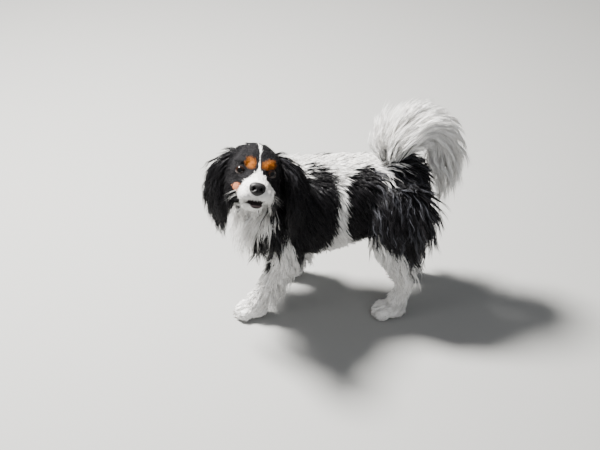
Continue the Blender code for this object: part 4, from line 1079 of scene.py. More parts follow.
def grown(pelt, face, weights, rng):
    """Guide paths. Each leaves the skin along its lie, is pushed out to its height over whatever
    skin it passes, turns with the lie there, and falls where nothing is under it."""
    root = pelt.read(pelt.places, face, weights)
    facing = unit(pelt.read(pelt.normals, face, weights))
    flow = unit(pelt.read(pelt.lie, face, weights))
    length = pelt.read(pelt.fields["length"], face, weights) * rng.uniform(0.85, 1.12, len(root))
    height = pelt.read(pelt.fields["height"], face, weights) * rng.uniform(0.55, 1.25, len(root))
    droop = pelt.read(pelt.fields["droop"], face, weights)[:, None]
    wave = pelt.read(pelt.fields["wave"], face, weights)[:, None]
    waves = pelt.read(pelt.fields["waves"], face, weights)[:, None]
    follow = pelt.read(pelt.fields["follow"], face, weights)[:, None]
    long = length > 0.011
    phase = (ripple(root, 0.035, 31) * 3.5 + ripple(root, 0.012, 32) * 1.4)[:, None]
    swerve = (ripple(root, 0.030, 33) * 0.30)[:, None]
    flow = unit(flow + np.cross(facing, flow) * swerve)
    path = np.empty((len(root), GUIDE_STEPS + 1, 3))
    faced = np.empty_like(path)
    path[:, 0] = root - facing * root_sink(length)
    faced[:, 0] = facing
    step = (length / GUIDE_STEPS)[:, None]
    for k in range(GUIDE_STEPS):
        share = (k + 1) / GUIDE_STEPS
        rise = np.clip(height / length * 1.5 * (1.3 - share), 0.05, 0.9)[:, None]
        way = unit(flow + facing * np.maximum(0, rise - dot(flow, facing)))
        at = path[:, k] + way * step
        if long.any():
            near, looks, met = pelt.nearest(at[long])
            over = dot(at[long] - near, looks)
            wanted = (height[long] * min(1.0, 1.9 * share))[:, None]
            at[long] += looks * np.maximum(0, wanted - over)
            close = np.exp(-((np.maximum(over, 0) / follow[long]) ** 2))
            turned = flow[long] + STEER * close * pelt.face_lie[met]
            turned += (1 - close) * droop[long] * np.array((0, 0, -0.55))
            flow[long] = unit(turned)
            aligned = dot(looks, facing[long]) > 0.2
            facing[long] = unit(np.where(aligned, facing[long] + close * looks, facing[long]))
        path[:, k + 1] = at
        faced[:, k + 1] = facing
    t = np.linspace(0, 1, GUIDE_STEPS + 1)[None, :, None]
    along = unit(np.gradient(path, axis=1))
    across = unit(np.cross(along, faced))
    turn = 2 * math.pi * waves[:, None] * t + phase[:, None]
    sway = wave[:, None] * t**0.7
    path += across * sway * (np.sin(turn) - np.sin(phase[:, None]))
    path += faced * sway * 0.35 * (np.cos(turn) - np.cos(phase[:, None])) * (t > 0.2)
    return path, faced, root


def along_path(path, t):
    """Places at shares t of each path, past its end in a straight line."""
    k = np.clip(t * GUIDE_STEPS, 0, None)
    i = np.minimum(k.astype(int), GUIDE_STEPS - 1)
    part = (k - i)[:, :, None]
    rows = np.arange(len(path))[:, None]
    return path[rows, i] * (1 - part) + path[rows, i + 1] * part


RING_SHAPE = {2: (0.9, 0.75), 3: (0.8, 1.0, 0.62), 4: (0.75, 1.0, 0.85, 0.5), 5: (0.7, 1.0, 0.95, 0.75, 0.42)}


def lock_grid(path, facing, width, roll, rings):
    """Locks of three sides: ring r of a lock has its two edges at path +- across * half width and
    its ridge at path + out * thickness, and the last point is the tip."""
    count = len(path)
    along = unit(np.diff(path, axis=1))
    across = unit(np.cross(facing[:, :rings], along))
    out = np.cross(along, across)
    c, s = np.cos(roll)[:, None, None], np.sin(roll)[:, None, None]
    across, out = across * c + out * s, out * c - across * s
    shape = np.array(RING_SHAPE[rings])[None, :, None] * width[:, None, None]
    middle = path[:, :rings]
    points = np.empty((count, rings * 3 + 1, 3))
    points[:, 0:-1:3] = middle - across * shape * 0.5
    points[:, 1:-1:3] = middle + across * shape * 0.5
    points[:, 2:-1:3] = middle + out * shape * 0.42
    points[:, -1] = path[:, -1]
    return points


def lock_faces(rings):
    """Triangles of one lock: its base, its walls and its tip."""
    faces = [(0, 1, 2)]
    for r in range(rings - 1):
        for k in range(3):
            a, b = 3 * r + k, 3 * r + (k + 1) % 3
            faces += [(a, b + 3, b), (a, a + 3, b + 3)]
    tip, last = 3 * rings, 3 * (rings - 1)
    faces += [(last + k, tip, last + (k + 1) % 3) for k in range(3)]
    return np.array(faces)


def coat_piece(pelt, name, chosen, rings, rng, density_scale):
    """One piece of coat: locks on the chosen triangles, each following the nearest guide."""
    spacing = np.mean([COATS[s]["spacing"] for s in np.unique(pelt.sort[pelt.triangles[chosen][:, 0]])])
    even = np.full(len(pelt.places), 1e-4 / spacing**2)
    even[pelt.fields["density"] < 1] = 0
    path, faced, guide_root = grown(pelt, *pelt.roots(chosen, even, rng), rng)
    guide_normal = faced[:, 0]
    tree = KDTree(len(path))
    for i, place in enumerate((guide_root + guide_normal * 0.010).tolist()):
        tree.insert(place, i)
    tree.balance()

    face, weights = pelt.roots(chosen, pelt.fields["density"] * density_scale, rng)
    root = pelt.read(pelt.places, face, weights)
    normal = unit(pelt.read(pelt.normals, face, weights))
    found = [tree.find(place)[1] for place in (root + normal * 0.010).tolist()]
    guide = np.array(found)
    count = len(root)
    loose = rng.random(count)
    clump = pelt.read(pelt.fields["clump"], face, weights) * np.where(loose > 0.9, 0.25, rng.uniform(0.75, 1.15, count))
    reach = rng.uniform(0.66, 1.05, count)
    reach[loose < UNDERCOAT] *= 0.55
    t = np.linspace(0, 1, rings + 1)[None, :] * reach[:, None]
    base = along_path(path[guide], t)
    turned = along_path(faced[guide], t)
    length = pelt.read(pelt.fields["length"], face, weights)
    offset = root - normal * root_sink(length) - path[guide][:, 0]
    closing = np.clip(clump[:, None] * t**0.8, 0, 0.97)[:, :, None]
    spread = rng.normal(size=(count, 1, 3)) * (t**1.4)[:, :, None]
    spread *= (0.035 * length)[:, None, None]
    strands = base + offset[:, None] * (1 - closing) + spread
    strands[:, :, 2] = np.maximum(strands[:, :, 2], 0.0012)
    width = pelt.read(pelt.fields["width"], face, weights) * rng.uniform(0.65, 1.25, count)
    roll = rng.normal(0, 0.55, count)
    points = lock_grid(strands, turned, width, roll, rings)

    per_lock = rings * 3 + 1
    faces = lock_faces(rings)[None] + (np.arange(count) * per_lock)[:, None, None]
    obj = mesh_object(name, (points + ORIGIN).reshape(-1, 3), faces.reshape(-1, 3), flip_check=False)
    paint_locks(obj, pelt, face, weights, root, normal, rings, rng)
    return obj


def paint_locks(obj, pelt, face, weights, root, normal, rings, rng):
    """Each lock takes the colour of its root, with painted shade making it darker at the root and a
    little lighter to the tip, and on black hair painted sheen in grey streaks. It lies as a small
    patch at its root's place on the skin's unwrap."""
    count = len(root)
    nearest_corner = pelt.triangles[face, weights.argmax(axis=1)]
    label = pelt.part[nearest_corner]
    sort = pelt.sort[nearest_corner]
    label = np.where(sort == "belly", "belly", label)
    lie = unit(pelt.read(pelt.lie, face, weights))
    length = pelt.read(pelt.fields["length"], face, weights)
    height = pelt.read(pelt.fields["height"], face, weights)
    colour = markings(root, normal, label, lie, length, height)
    luminance = colour.mean(axis=1)
    tone = rng.normal(1.0, 0.10, count)
    clumped = 1 + 0.10 * ripple(root, 0.012, 41)
    dark = luminance < 0.1
    wavy = np.isin(sort, ("thigh", "breeches"))
    # Painted sheen: grey streaks in clumps of black hair stand in for highlights of light on its waves, strongest on
    # the thigh and breeches and faint on the head; the small random grey beside them is the hair's own.
    painted_sheen = np.clip(ripple(root, 0.010, 43) - np.where(wavy, 0.12, 0.35), 0, 1)
    painted_sheen *= np.where(wavy, 6.0, 1.0) * (1 - 0.8 * (sort == "head")) * rng.uniform(0, 1, count)
    painted_sheen = painted_sheen[:, None]
    grey = dark[:, None] * np.array((0.034, 0.035, 0.040)) * (0.10 * rng.random((count, 1)) + painted_sheen)
    colour = colour * (tone * clumped)[:, None] + grey
    share = np.array([r for r in range(rings) for _ in range(3)] + [rings]) / rings
    # Painted shade: each lock is darker towards its root, deep in the coat, and lighter towards its tip, most of all on
    # black hair.
    depth = np.where(dark[:, None], 0.55 + 0.75 * share, 0.80 + 0.22 * share)
    tint = np.ones((count, len(share), 4), np.float32)
    tint[:, :, :3] = np.clip(colour[:, None] * depth[:, :, None], 0, 0.92)
    attribute = obj.data.color_attributes.new(name="tint", type="FLOAT_COLOR", domain="POINT")
    attribute.data.foreach_set("color", tint.ravel())

    place = (pelt.uv[face] * weights[:, :, None]).sum(axis=1)
    corner = lock_faces(rings)
    column = np.array([k for _ in range(rings) for k in (-1, 1, 0)] + [0])
    local = np.stack((column * 0.0012, (share - 0.5) * 0.0028), axis=1)[corner]
    uv = np.clip(place[:, None, None] + local[None], 0.0005, 0.9995)
    layer = obj.data.uv_layers.new(name="OFBake")
    layer.uv.foreach_set("vector", uv.astype(np.float32).ravel())


_kept = {}


def pelt():
    """The skin's arrays, worked out once."""
    if "pelt" not in _kept:
        _kept["pelt"] = Pelt(bpy.data.objects["skin"])
    return _kept["pelt"]


def socket(group, name, in_out, kind, value=None):
    made = group.interface.new_socket(name=name, in_out=in_out, socket_type=kind)
    if value is not None:
        made.default_value = value
    return made


def hair_tone_group():
    """Node group: a colour mottled a little by noise on object coordinates, the roughness that
    dark hair is glossier by, and a fine height for bump."""
    found = bpy.data.node_groups.get("Hair Tone")
    if found:
        return found
    group = bpy.data.node_groups.new("Hair Tone", "ShaderNodeTree")
    socket(group, "Tint", "INPUT", "NodeSocketColor", (0.5, 0.5, 0.5, 1))
    socket(group, "Scale", "INPUT", "NodeSocketFloat", 300.0)
    socket(group, "Mottle", "INPUT", "NodeSocketFloat", 0.12)
    socket(group, "Dark Roughness", "INPUT", "NodeSocketFloat", 0.34)
    socket(group, "Pale Roughness", "INPUT", "NodeSocketFloat", 0.55)
    socket(group, "Color", "OUTPUT", "NodeSocketColor")
    socket(group, "Roughness", "OUTPUT", "NodeSocketFloat")
    socket(group, "Height", "OUTPUT", "NodeSocketFloat")
    nodes, links = group.nodes, group.links
    entry, leave = nodes.new("NodeGroupInput"), nodes.new("NodeGroupOutput")
    place = nodes.new("ShaderNodeTexCoord")
    noise = nodes.new("ShaderNodeTexNoise")
    noise.inputs["Detail"].default_value = 3.0
    links.new(place.outputs["Object"], noise.inputs["Vector"])
    links.new(entry.outputs["Scale"], noise.inputs["Scale"])
    spread = nodes.new("ShaderNodeMapRange")
    spread.inputs["From Min"].default_value = 0.25
    spread.inputs["From Max"].default_value = 0.75
    links.new(noise.outputs["Fac"], spread.inputs["Value"])
    less, more = nodes.new("ShaderNodeMath"), nodes.new("ShaderNodeMath")
    less.operation, more.operation = "SUBTRACT", "ADD"
    less.inputs[0].default_value = more.inputs[0].default_value = 1.0
    links.new(entry.outputs["Mottle"], less.inputs[1])
    links.new(entry.outputs["Mottle"], more.inputs[1])
    links.new(less.outputs[0], spread.inputs["To Min"])
    links.new(more.outputs[0], spread.inputs["To Max"])
    scale = nodes.new("ShaderNodeVectorMath")
    scale.operation = "SCALE"
    links.new(entry.outputs["Tint"], scale.inputs[0])
    links.new(spread.outputs["Result"], scale.inputs["Scale"])
    links.new(scale.outputs["Vector"], leave.inputs["Color"])
    grey = nodes.new("ShaderNodeRGBToBW")
    links.new(entry.outputs["Tint"], grey.inputs["Color"])
    rough = nodes.new("ShaderNodeMapRange")
    rough.inputs["From Min"].default_value = 0.02
    rough.inputs["From Max"].default_value = 0.45
    links.new(grey.outputs["Val"], rough.inputs["Value"])
    links.new(entry.outputs["Dark Roughness"], rough.inputs["To Min"])
    links.new(entry.outputs["Pale Roughness"], rough.inputs["To Max"])
    links.new(rough.outputs["Result"], leave.inputs["Roughness"])
    links.new(noise.outputs["Fac"], leave.inputs["Height"])
    return group


def shader_of(name):
    """(material, its nodes, links and Principled shader), the material made new."""
    material = bpy.data.materials.new(name)
    material.use_nodes = True
    tree = material.node_tree
    return material, tree.nodes, tree.links, tree.nodes["Principled BSDF"]


def coat_material(name, scale, dark_roughness, pale_roughness, bump, specular=0.13):
    found = bpy.data.materials.get(name)
    if found:
        return found
    material, nodes, links, shader = shader_of(name)
    tint = nodes.new("ShaderNodeAttribute")
    tint.attribute_name = "tint"
    tone = nodes.new("ShaderNodeGroup")
    tone.node_tree = hair_tone_group()
    tone.inputs["Scale"].default_value = scale
    tone.inputs["Dark Roughness"].default_value = dark_roughness
    tone.inputs["Pale Roughness"].default_value = pale_roughness
    links.new(tint.outputs["Color"], tone.inputs["Tint"])
    links.new(tone.outputs["Color"], shader.inputs["Base Color"])
    links.new(tone.outputs["Roughness"], shader.inputs["Roughness"])
    shader.inputs["Specular IOR Level"].default_value = specular
    if bump:
        lift = nodes.new("ShaderNodeBump")
        lift.inputs["Distance"].default_value = bump
        lift.inputs["Strength"].default_value = 0.8
        links.new(tone.outputs["Height"], lift.inputs["Height"])
        links.new(lift.outputs["Normal"], shader.inputs["Normal"])
    return material


def dress(obj, material):
    obj.data.materials.clear()
    obj.data.materials.append(material)
    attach(obj, "root")
    return obj


def tint_vertices(obj, colour):
    rgba = np.ones((len(colour), 4), np.float32)
    rgba[:, :3] = colour
    attribute = obj.data.color_attributes.new(name="tint", type="FLOAT_COLOR", domain="POINT")
    attribute.data.foreach_set("color", rgba.ravel())


def skin_colours(pelt):
    """The skin has the coat's markings, darkened by painted shade from the coat over it, with black
    lips, a mouth line of black pigment and painted shade, and a painted highlight on the lower lip's edge.
    """
    label = np.where(pelt.sort == "belly", "belly", pelt.part)
    f = pelt.fields
    # Painted shade: the skin is a fifth darker than the coat's colour, as if shaded by the hair over it.
    colour = markings(pelt.places, pelt.normals, label, pelt.lie, f["length"], f["height"]) * 0.80
    h = in_head(pelt.places)
    head = pelt.part == "head"
    # The mouth line is painted black: partly the lips' own black pigment, partly painted shade of the slightly open
    # mouth.
    dark = np.clip(mouth_opening(h) * 2.2, 0, 1) * head
    dark = np.maximum(dark, lip_leather(h) * head)
    # Painted highlight: the black lip is made up to eight times lighter along the lower lip's rounded edge.
    lip = np.array(LIP_BLACK) * (1 + 7.0 * lip_ridge(h)[:, None])
    return colour * (1 - dark[:, None]) + lip * dark[:, None]


FLESH = (
    "torso", "neck", "head", "jaw", "ear_left", "ear_right", "foreleg_left", "foreleg_right",
    "hindleg_left", "hindleg_right", "paw_fore_left", "paw_fore_right", "paw_hind_left",
    "paw_hind_right", "tail_root", "tail_arch", "tail_plume",
)
PALE_FLOOR = (0.27, 0.27, 0.262)


class SpanielSizes(bpy.types.PropertyGroup):
    """Sizes that a user would change."""

    density: bpy.props.FloatProperty(
        name="Coat density", description="Locks of hair, as a share of the full coat", default=1.0, min=0.02, max=1.2
    )
    eye_radius: bpy.props.FloatProperty(
        name="Eye radius", description="Radius of each eyeball", default=EYE_RADIUS, unit="LENGTH", precision=4
    )
    whisker_length: bpy.props.FloatProperty(
        name="Whisker length", description="Longest whisker", default=0.034, unit="LENGTH", precision=3
    )


class SpanielColours(bpy.types.PropertyGroup):
    """Colours that a user would change."""

    iris: bpy.props.FloatVectorProperty(
        name="Iris", description="Colour of the iris", default=(0.012, 0.0045, 0.002), subtype="COLOR", size=3
    )
    nose: bpy.props.FloatVectorProperty(
        name="Nose", description="Colour of the nose leather", default=(0.0060, 0.0056, 0.0062), subtype="COLOR", size=3
    )
    floor: bpy.props.FloatVectorProperty(
        name="Floor", description="Colour of the studio floor", default=PALE_FLOOR, subtype="COLOR", size=3
    )


class SPANIEL_OT_skin(bpy.types.Operator):
    """Build the skin that stands for the nodes of flesh"""

    bl_idname = "spaniel.skin"
    bl_label = "Skin"

    def execute(self, context):
        skin = make_skin()
        unwrap(skin)
        p = pelt()
        tint_vertices(skin, skin_colours(p))
        places = mesh_places(skin.data) + ORIGIN
        skin.data.vertices.foreach_set("co", places.astype(np.float32).ravel())
        skin.data.update()
        skin.data.shade_smooth()
        dress(skin, coat_material("coat_skin", 420.0, 0.80, 0.80, 0.0006, specular=0.08))
        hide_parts(*FLESH)
        return {"FINISHED"}


def coat_plan(p):
    """The coat's pieces: name, slot, rings of a lock, and which triangles they grow on."""
    corner = p.triangles[:, 0]
    sort, part, x = p.sort[corner], p.part[corner], p.places[corner][:, 0]
    y, share = p.places[corner][:, 1], p.share[corner]
    plan = []

    def add(name, slot, rings, chosen):
        plan.append((name, slot, rings, chosen))

    add("coat_face", "coat_tricolour", 2, (part == "head") & (in_head(p.places[corner])[:, 0] > 0.0))
    add("coat_skull", "coat_tricolour", 3, (part == "head") & (in_head(p.places[corner])[:, 0] <= 0.0))
    for side in ("left", "right"):
        add(f"coat_ear_{side}", "coat_black", 5, part == f"ear_{side}")
    add("coat_neck", "coat_tricolour", 4, (part == "neck"))
    add("coat_chest", "coat_tricolour", 5, (part == "trunk") & (sort == "chest"))
    shoulder = (part == "trunk") & (sort == "shoulder")
    add("coat_shoulders", "coat_tricolour", 4, shoulder)
    rest = (part == "trunk") & (sort != "chest") & (sort != "shoulder")
    add("coat_back", "coat_tricolour", 3, rest & (sort == "trunk"))
    add("coat_belly", "coat_tricolour", 4, rest & (sort == "belly"))
    add("coat_rump", "coat_tricolour", 5, rest & (sort == "thigh"))
    for side in ("left", "right"):
        add(f"coat_foreleg_{side}", "coat_tricolour", 4, part == f"foreleg_{side}")
        leg = part == f"hindleg_{side}"
        long = (sort == "thigh") | (sort == "breeches")
        add(f"coat_thigh_{side}", "coat_tricolour", 5, leg & long)
        add(f"coat_shank_{side}", "coat_tricolour", 3, leg & ~long)
    add("coat_paws", "coat_white", 2, part == "paw")
    add("coat_tail_base", "coat_white", 5, (part == "tail") & (share < 0.55))
    add("coat_tail_plume", "coat_white", 5, (part == "tail") & (share >= 0.55))
    return plan


class SPANIEL_OT_coat(bpy.types.Operator):
    """Grow the coat over the skin, piece by piece"""

    bl_idname = "spaniel.coat"
    bl_label = "Coat"

    def execute(self, context):
        p = pelt()
        density = context.scene.spaniel_sizes.density
        hair = coat_material("coat_hair", 900.0, 0.33, 0.50, 0.0)
        short_hair = coat_material("coat_hair_short", 900.0, 0.42, 0.50, 0.0, specular=0.07)
        for k, (name, slot, rings, chosen) in enumerate(coat_plan(p)):
            obj = coat_piece(p, name, chosen, rings, np.random.default_rng(SEED + k), density)
            dress(obj, short_hair if name in ("coat_face", "coat_skull") else hair)
        return {"FINISHED"}


def eye_grid(radius):
    """An eyeball turned about the way it looks: rings at angle v from the front, with the clear
    front bulging a tenth further."""
    v = np.linspace(0.02, math.pi - 0.02, 48)
    bulge = 1 + 0.075 * smooth_step(0.75, 0.35, v)
    u = np.linspace(0, 2 * math.pi, 48, endpoint=False)
    ahead = (radius * bulge * np.cos(v))[:, None] * np.ones(48)
    aside = radius * bulge * np.sin(v)
    grid = np.stack((ahead, aside[:, None] * np.cos(u), aside[:, None] * np.sin(u)), axis=2)
    return grid, np.repeat(v, 48)


def eye_material(iris):
    """Wet dark eye: pupil, iris with fine spokes, and a dark rim, by the tint attribute."""
    material, nodes, links, shader = shader_of("wet_eye")
    tint = nodes.new("ShaderNodeAttribute")
    tint.attribute_name = "tint"
    links.new(tint.outputs["Color"], shader.inputs["Base Color"])
    shader.inputs["Roughness"].default_value = 0.06
    shader.inputs["Specular IOR Level"].default_value = 0.22
    shader.inputs["Coat Weight"].default_value = 0.35
    shader.inputs["Coat Roughness"].default_value = 0.01
    return material


class SPANIEL_OT_eyes(bpy.types.Operator):
    """Build the two eyes and their lids"""

    bl_idname = "spaniel.eyes"
    bl_label = "Eyes"

    def execute(self, context):
        radius = context.scene.spaniel_sizes.eye_radius
        iris = np.array(context.scene.spaniel_colours.iris)
        wet = eye_material(iris)
        lid_skin = coat_material("lid_leather", 1500.0, 0.50, 0.60, 0.0002)
        for side, s in (("left", 1), ("right", -1)):
            grid, v = eye_grid(radius)
            axes = eye_axes(s)
            points, faces = closed_grid(grid @ axes + eye_place(s) + ORIGIN)
            eye = mesh_object(f"eye_ball_{side}", points - eye_place(s) - ORIGIN, faces)
            eye.data.vertices.foreach_set("co", points.astype(np.float32).ravel())
            eye.data.update()
            v = np.concatenate((v, (0.0, math.pi)))
            spokes = 1 + 0.25 * np.sin(np.tile(np.arange(48) * 2 * math.pi / 48 * 11, 48))
            spokes = np.concatenate((spokes, (1.0, 1.0)))
            colour = iris[None] * spokes[:, None]
            pupil = smooth_step(0.40, 0.35, v)[:, None]
            rim = smooth_step(0.66, 0.78, v)[:, None]
            white = smooth_step(0.86, 0.98, v)[:, None]
            colour = colour * (1 - pupil) + np.array((0.002, 0.002, 0.002)) * pupil
            colour = colour * (1 - rim) + np.array((0.006, 0.004, 0.004)) * rim
            colour = colour * (1 - white) + np.array((0.10, 0.07, 0.06)) * white
            tint_vertices(eye, colour)
            dress(eye, wet)
            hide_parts(f"eye_{side}")
            dress(make_lids(side, s, radius), lid_skin)
        return {"FINISHED"}


LID_OPENING = (0.77, 0.57, 0.50)  # half width, upper and lower half height, in eye radii
LID_BAND = 0.30
# Colour of a painted highlight: a pale crescent on each lower lid, as of light on its wet edge.
LOWER_LID_HIGHLIGHT = (0.20, 0.17, 0.16)


def make_lids(side, s, radius):
    """Both lids as one band round the eye. At angle u round the opening and share v across the
    band, the band leaves the eyeball at the opening's edge, rolls out over a rounded rim and
    goes down under the coat."""
    u = np.linspace(0, 2 * math.pi, 72, endpoint=False)[None, :]
    v = np.linspace(0, 1, 15)[:, None]
    half, upper, lower = LID_OPENING
    tall = np.where(np.sin(u) > 0, upper, lower)
    grow = 1 + LID_BAND * v
    y = half * np.cos(u) * (1 + (grow - 1) * 0.85)
    z = tall * np.sin(u) * np.abs(np.sin(u)) ** 0.30 * (1 + (grow - 1) * 1.25)
    aside = np.sqrt(y**2 + z**2)
    thick = 1.020 + 0.045 * np.sin(math.pi * np.clip(v * 1.35, 0, 1)) ** 0.8 * np.where(np.sin(u) > 0, 1.2, 0.9)
    thick = thick - 0.10 * smooth_step(0.50, 1.0, v)
    angle = np.clip(aside, 0, 1.45)
    x = np.cos(angle) * thick
    scale = np.sin(angle) * thick / np.maximum(aside, 1e-6)
    grid = np.stack((x, y * scale, z * scale), axis=2) * radius
    inner = grid[::-1] * 0.90
    shell = np.concatenate((grid, inner), axis=0)
    rings, sides = shell.shape[:2]
    points = shell.reshape(-1, 3)
    r, k = np.meshgrid(np.arange(rings), np.arange(sides), indexing="ij")
    a = (r * sides + k).ravel()
    b = (r * sides + (k + 1) % sides).ravel()
    c = ((r + 1) % rings * sides + k).ravel()
    d = ((r + 1) % rings * sides + (k + 1) % sides).ravel()
    faces = np.vstack((np.column_stack((a, b, d)), np.column_stack((a, d, c))))
    lids = mesh_object(f"eye_lids_{side}", points, faces)
    places = points @ eye_axes(s) + eye_place(s)
    head_places = in_head(places)
    colour = head_markings(head_places, np.zeros(len(places)))
    rim = np.concatenate((1 - smooth_step(0.55, 0.8, v[:, 0]), np.ones(15)))
    rim = np.repeat(rim, sides)[:, None]
    colour = colour * (1 - rim) + np.array(LIP_BLACK) * rim
    # Painted highlight: the pale crescent along the lower lid.
    under = np.exp(-(((v[:, 0] - 0.42) / 0.20) ** 2))[:, None] * smooth_step(-0.2, -0.7, np.sin(u))
    under = np.concatenate((under, np.zeros_like(under)))[..., None].reshape(-1, 1)
    colour = colour * (1 - under) + np.array(LOWER_LID_HIGHLIGHT) * under
    tint_vertices(lids, colour)
    lids.data.vertices.foreach_set("co", (places + ORIGIN).astype(np.float32).ravel())
    lids.data.update()
    return lids


def nose_places():
    """The nose leather: a ball of three radii with boxy sides, pushed in at two comma-shaped
    nostrils and along the groove between them."""
    v = np.linspace(0.03, math.pi - 0.03, 90)[:, None]
    u = np.linspace(0, 2 * math.pi, 120, endpoint=False)[None, :]
    d = np.stack((np.cos(v) * np.ones_like(u), np.sin(v) * np.cos(u), np.sin(v) * np.sin(u)), axis=2)
    boxy = (np.abs(d) ** 2.5).sum(axis=2, keepdims=True) ** (-1 / 2.5)
    size = np.array(NOSE_SIZE)
    grid = d * boxy * size * (1.0, 1.0, 0.94)
    low = np.clip(-grid[..., 2] / size[2], 0, 1)
    grid[..., 1] *= 1 + 0.05 * np.clip(grid[..., 2] / size[2], 0, 1) - 0.42 * low**2
    grid[..., 2] *= 1 + 0.12 * low
    y, z = grid[..., 1], grid[..., 2]
    front = smooth_step(0.0, 0.004, grid[..., 0])
    push = np.zeros_like(y)
    for s in (-1, 1):
        push += 0.0052 * np.exp(-(((y - s * 0.0054) / 0.0022) ** 2) - ((z - 0.0002) / 0.0025) ** 2)
        slit = np.exp(-(((z + 0.0030) / 0.0010) ** 2)) * smooth_step(0.0050, 0.0070, s * y)
        push += 0.0020 * slit * smooth_step(0.0125, 0.0105, s * y)
    push += 0.0010 * np.exp(-((y / 0.0006) ** 2)) * smooth_step(0.004, 0.0, z)
    grid[..., 0] -= push * front
    return by_matrix(HEAD, grid + np.array(NOSE_AT)), push * front


def leather_material():
    """Moist nose leather: small rounded cells raised in the surface, dull inside the nostrils, where the
    tint attribute is darkened by painted shade."""
    material, nodes, links, shader = shader_of("nose_leather")
    tint = nodes.new("ShaderNodeAttribute")
    tint.attribute_name = "tint"
    links.new(tint.outputs["Color"], shader.inputs["Base Color"])
    grey = nodes.new("ShaderNodeRGBToBW")
    links.new(tint.outputs["Color"], grey.inputs["Color"])
    dull = nodes.new("ShaderNodeMapRange")
    dull.inputs["From Min"].default_value = 0.0010
    dull.inputs["From Max"].default_value = 0.0050
    dull.inputs["To Min"].default_value = 1.0
    dull.inputs["To Max"].default_value = 0.0
    links.new(grey.outputs["Val"], dull.inputs["Value"])
    roughest = nodes.new("ShaderNodeMath")
    roughest.operation = "MAXIMUM"
    links.new(dull.outputs["Result"], roughest.inputs[0])
    place = nodes.new("ShaderNodeTexCoord")
    cells = nodes.new("ShaderNodeTexVoronoi")
    cells.inputs["Scale"].default_value = 950.0
    links.new(place.outputs["Object"], cells.inputs["Vector"])
    lift = nodes.new("ShaderNodeBump")
    lift.invert = True
    lift.inputs["Strength"].default_value = 0.55
    lift.inputs["Distance"].default_value = 0.0004
    links.new(cells.outputs["Distance"], lift.inputs["Height"])
    links.new(lift.outputs["Normal"], shader.inputs["Normal"])
    shine = nodes.new("ShaderNodeMapRange")
    shine.inputs["To Min"].default_value = 0.40
    shine.inputs["To Max"].default_value = 0.56
    links.new(cells.outputs["Distance"], shine.inputs["Value"])
    links.new(shine.outputs["Result"], roughest.inputs[1])
    links.new(roughest.outputs[0], shader.inputs["Roughness"])
    shader.inputs["Specular IOR Level"].default_value = 0.32
    return material


class SPANIEL_OT_nose(bpy.types.Operator):
    """Build the nose leather with its nostrils"""

    bl_idname = "spaniel.nose"
    bl_label = "Nose"

    def execute(self, context):
        grid, push = nose_places()
        points, faces = closed_grid(grid)
        depth = np.concatenate((push.ravel(), (0.0, 0.0)))[:, None]
        # Painted shade: the leather is darkened inside the nostrils, the deeper the darker.
        leather = np.array(context.scene.spaniel_colours.nose) * (1 - 0.9 * smooth_step(0.0012, 0.0032, depth))
        centre = points.mean(axis=0)
        nose = mesh_object("nose_leather", points - centre, faces)
        nose.data.vertices.foreach_set("co", (points + ORIGIN).astype(np.float32).ravel())
        nose.data.update()
        tint_vertices(nose, leather)
        dress(nose, leather_material())
        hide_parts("nose")
        return {"FINISHED"}


def horn_material():
    material, nodes, links, shader = shader_of("claw_horn")
    place = nodes.new("ShaderNodeTexCoord")
    noise = nodes.new("ShaderNodeTexNoise")
    noise.inputs["Scale"].default_value = 500.0
    links.new(place.outputs["Object"], noise.inputs["Vector"])
    ramp = nodes.new("ShaderNodeValToRGB")
    ramp.color_ramp.elements[0].color = (0.10, 0.075, 0.06, 1)
    ramp.color_ramp.elements[1].color = (0.26, 0.20, 0.165, 1)
    links.new(noise.outputs["Fac"], ramp.inputs["Fac"])
    links.new(ramp.outputs["Color"], shader.inputs["Base Color"])
    shader.inputs["Roughness"].default_value = 0.35
    return material


class SPANIEL_OT_claws(bpy.types.Operator):
    """Build a claw at the front of every toe"""

    bl_idname = "spaniel.claws"
    bl_label = "Claws"

    def execute(self, context):
        points, faces, count = [], [], 0
        t = np.linspace(0, 1, 9)[:, None, None]
        u = np.linspace(0, 2 * math.pi, 10, endpoint=False)[None, :]
        for x, y in paw_places():
            for forward, across, turn in toe_rows():
                c, s = math.cos(turn), math.sin(turn)
                radius = 0.0021 * (1 - 0.80 * t[..., 0] ** 1.6)
                ahead = -0.0072 * t[..., 0] * np.ones_like(u)
                drop = -0.0048 * t[..., 0] ** 1.6 * np.ones_like(u)
                lx = ahead + radius * 0.2 * np.sin(u)
                ly = radius * 0.8 * np.cos(u)
                lz = drop + radius * np.sin(u)
                start = np.array((x - forward - 0.0085 * c, y + across - 0.0085 * s, 0.0088))
                grid = np.stack((lx * c - ly * s, lx * s + ly * c, lz), axis=2) + start
                p, f = closed_grid(grid)
                a, b, d = (p[f[:, k]] - p.mean(axis=0) for k in range(3))
                if (a * np.cross(b, d)).sum() < 0:
                    f = f[:, ::-1]
                points.append(p)
                faces.append(f + count)
                count += len(p)
        places = np.vstack(points)
        places[:, 2] = np.maximum(places[:, 2], 0.0006)
        claws = mesh_object("claws", places + ORIGIN, np.vstack(faces), flip_check=False)
        dress(claws, horn_material())
        return {"FINISHED"}


WHISKER_ROWS = (
    # x, z on the lip, how many, share of the longest
    (0.057, -0.0180, 2, 0.60),
    (0.052, -0.0220, 3, 0.90),
    (0.046, -0.0255, 3, 1.00),
    (0.050, -0.0300, 2, 0.75),
)


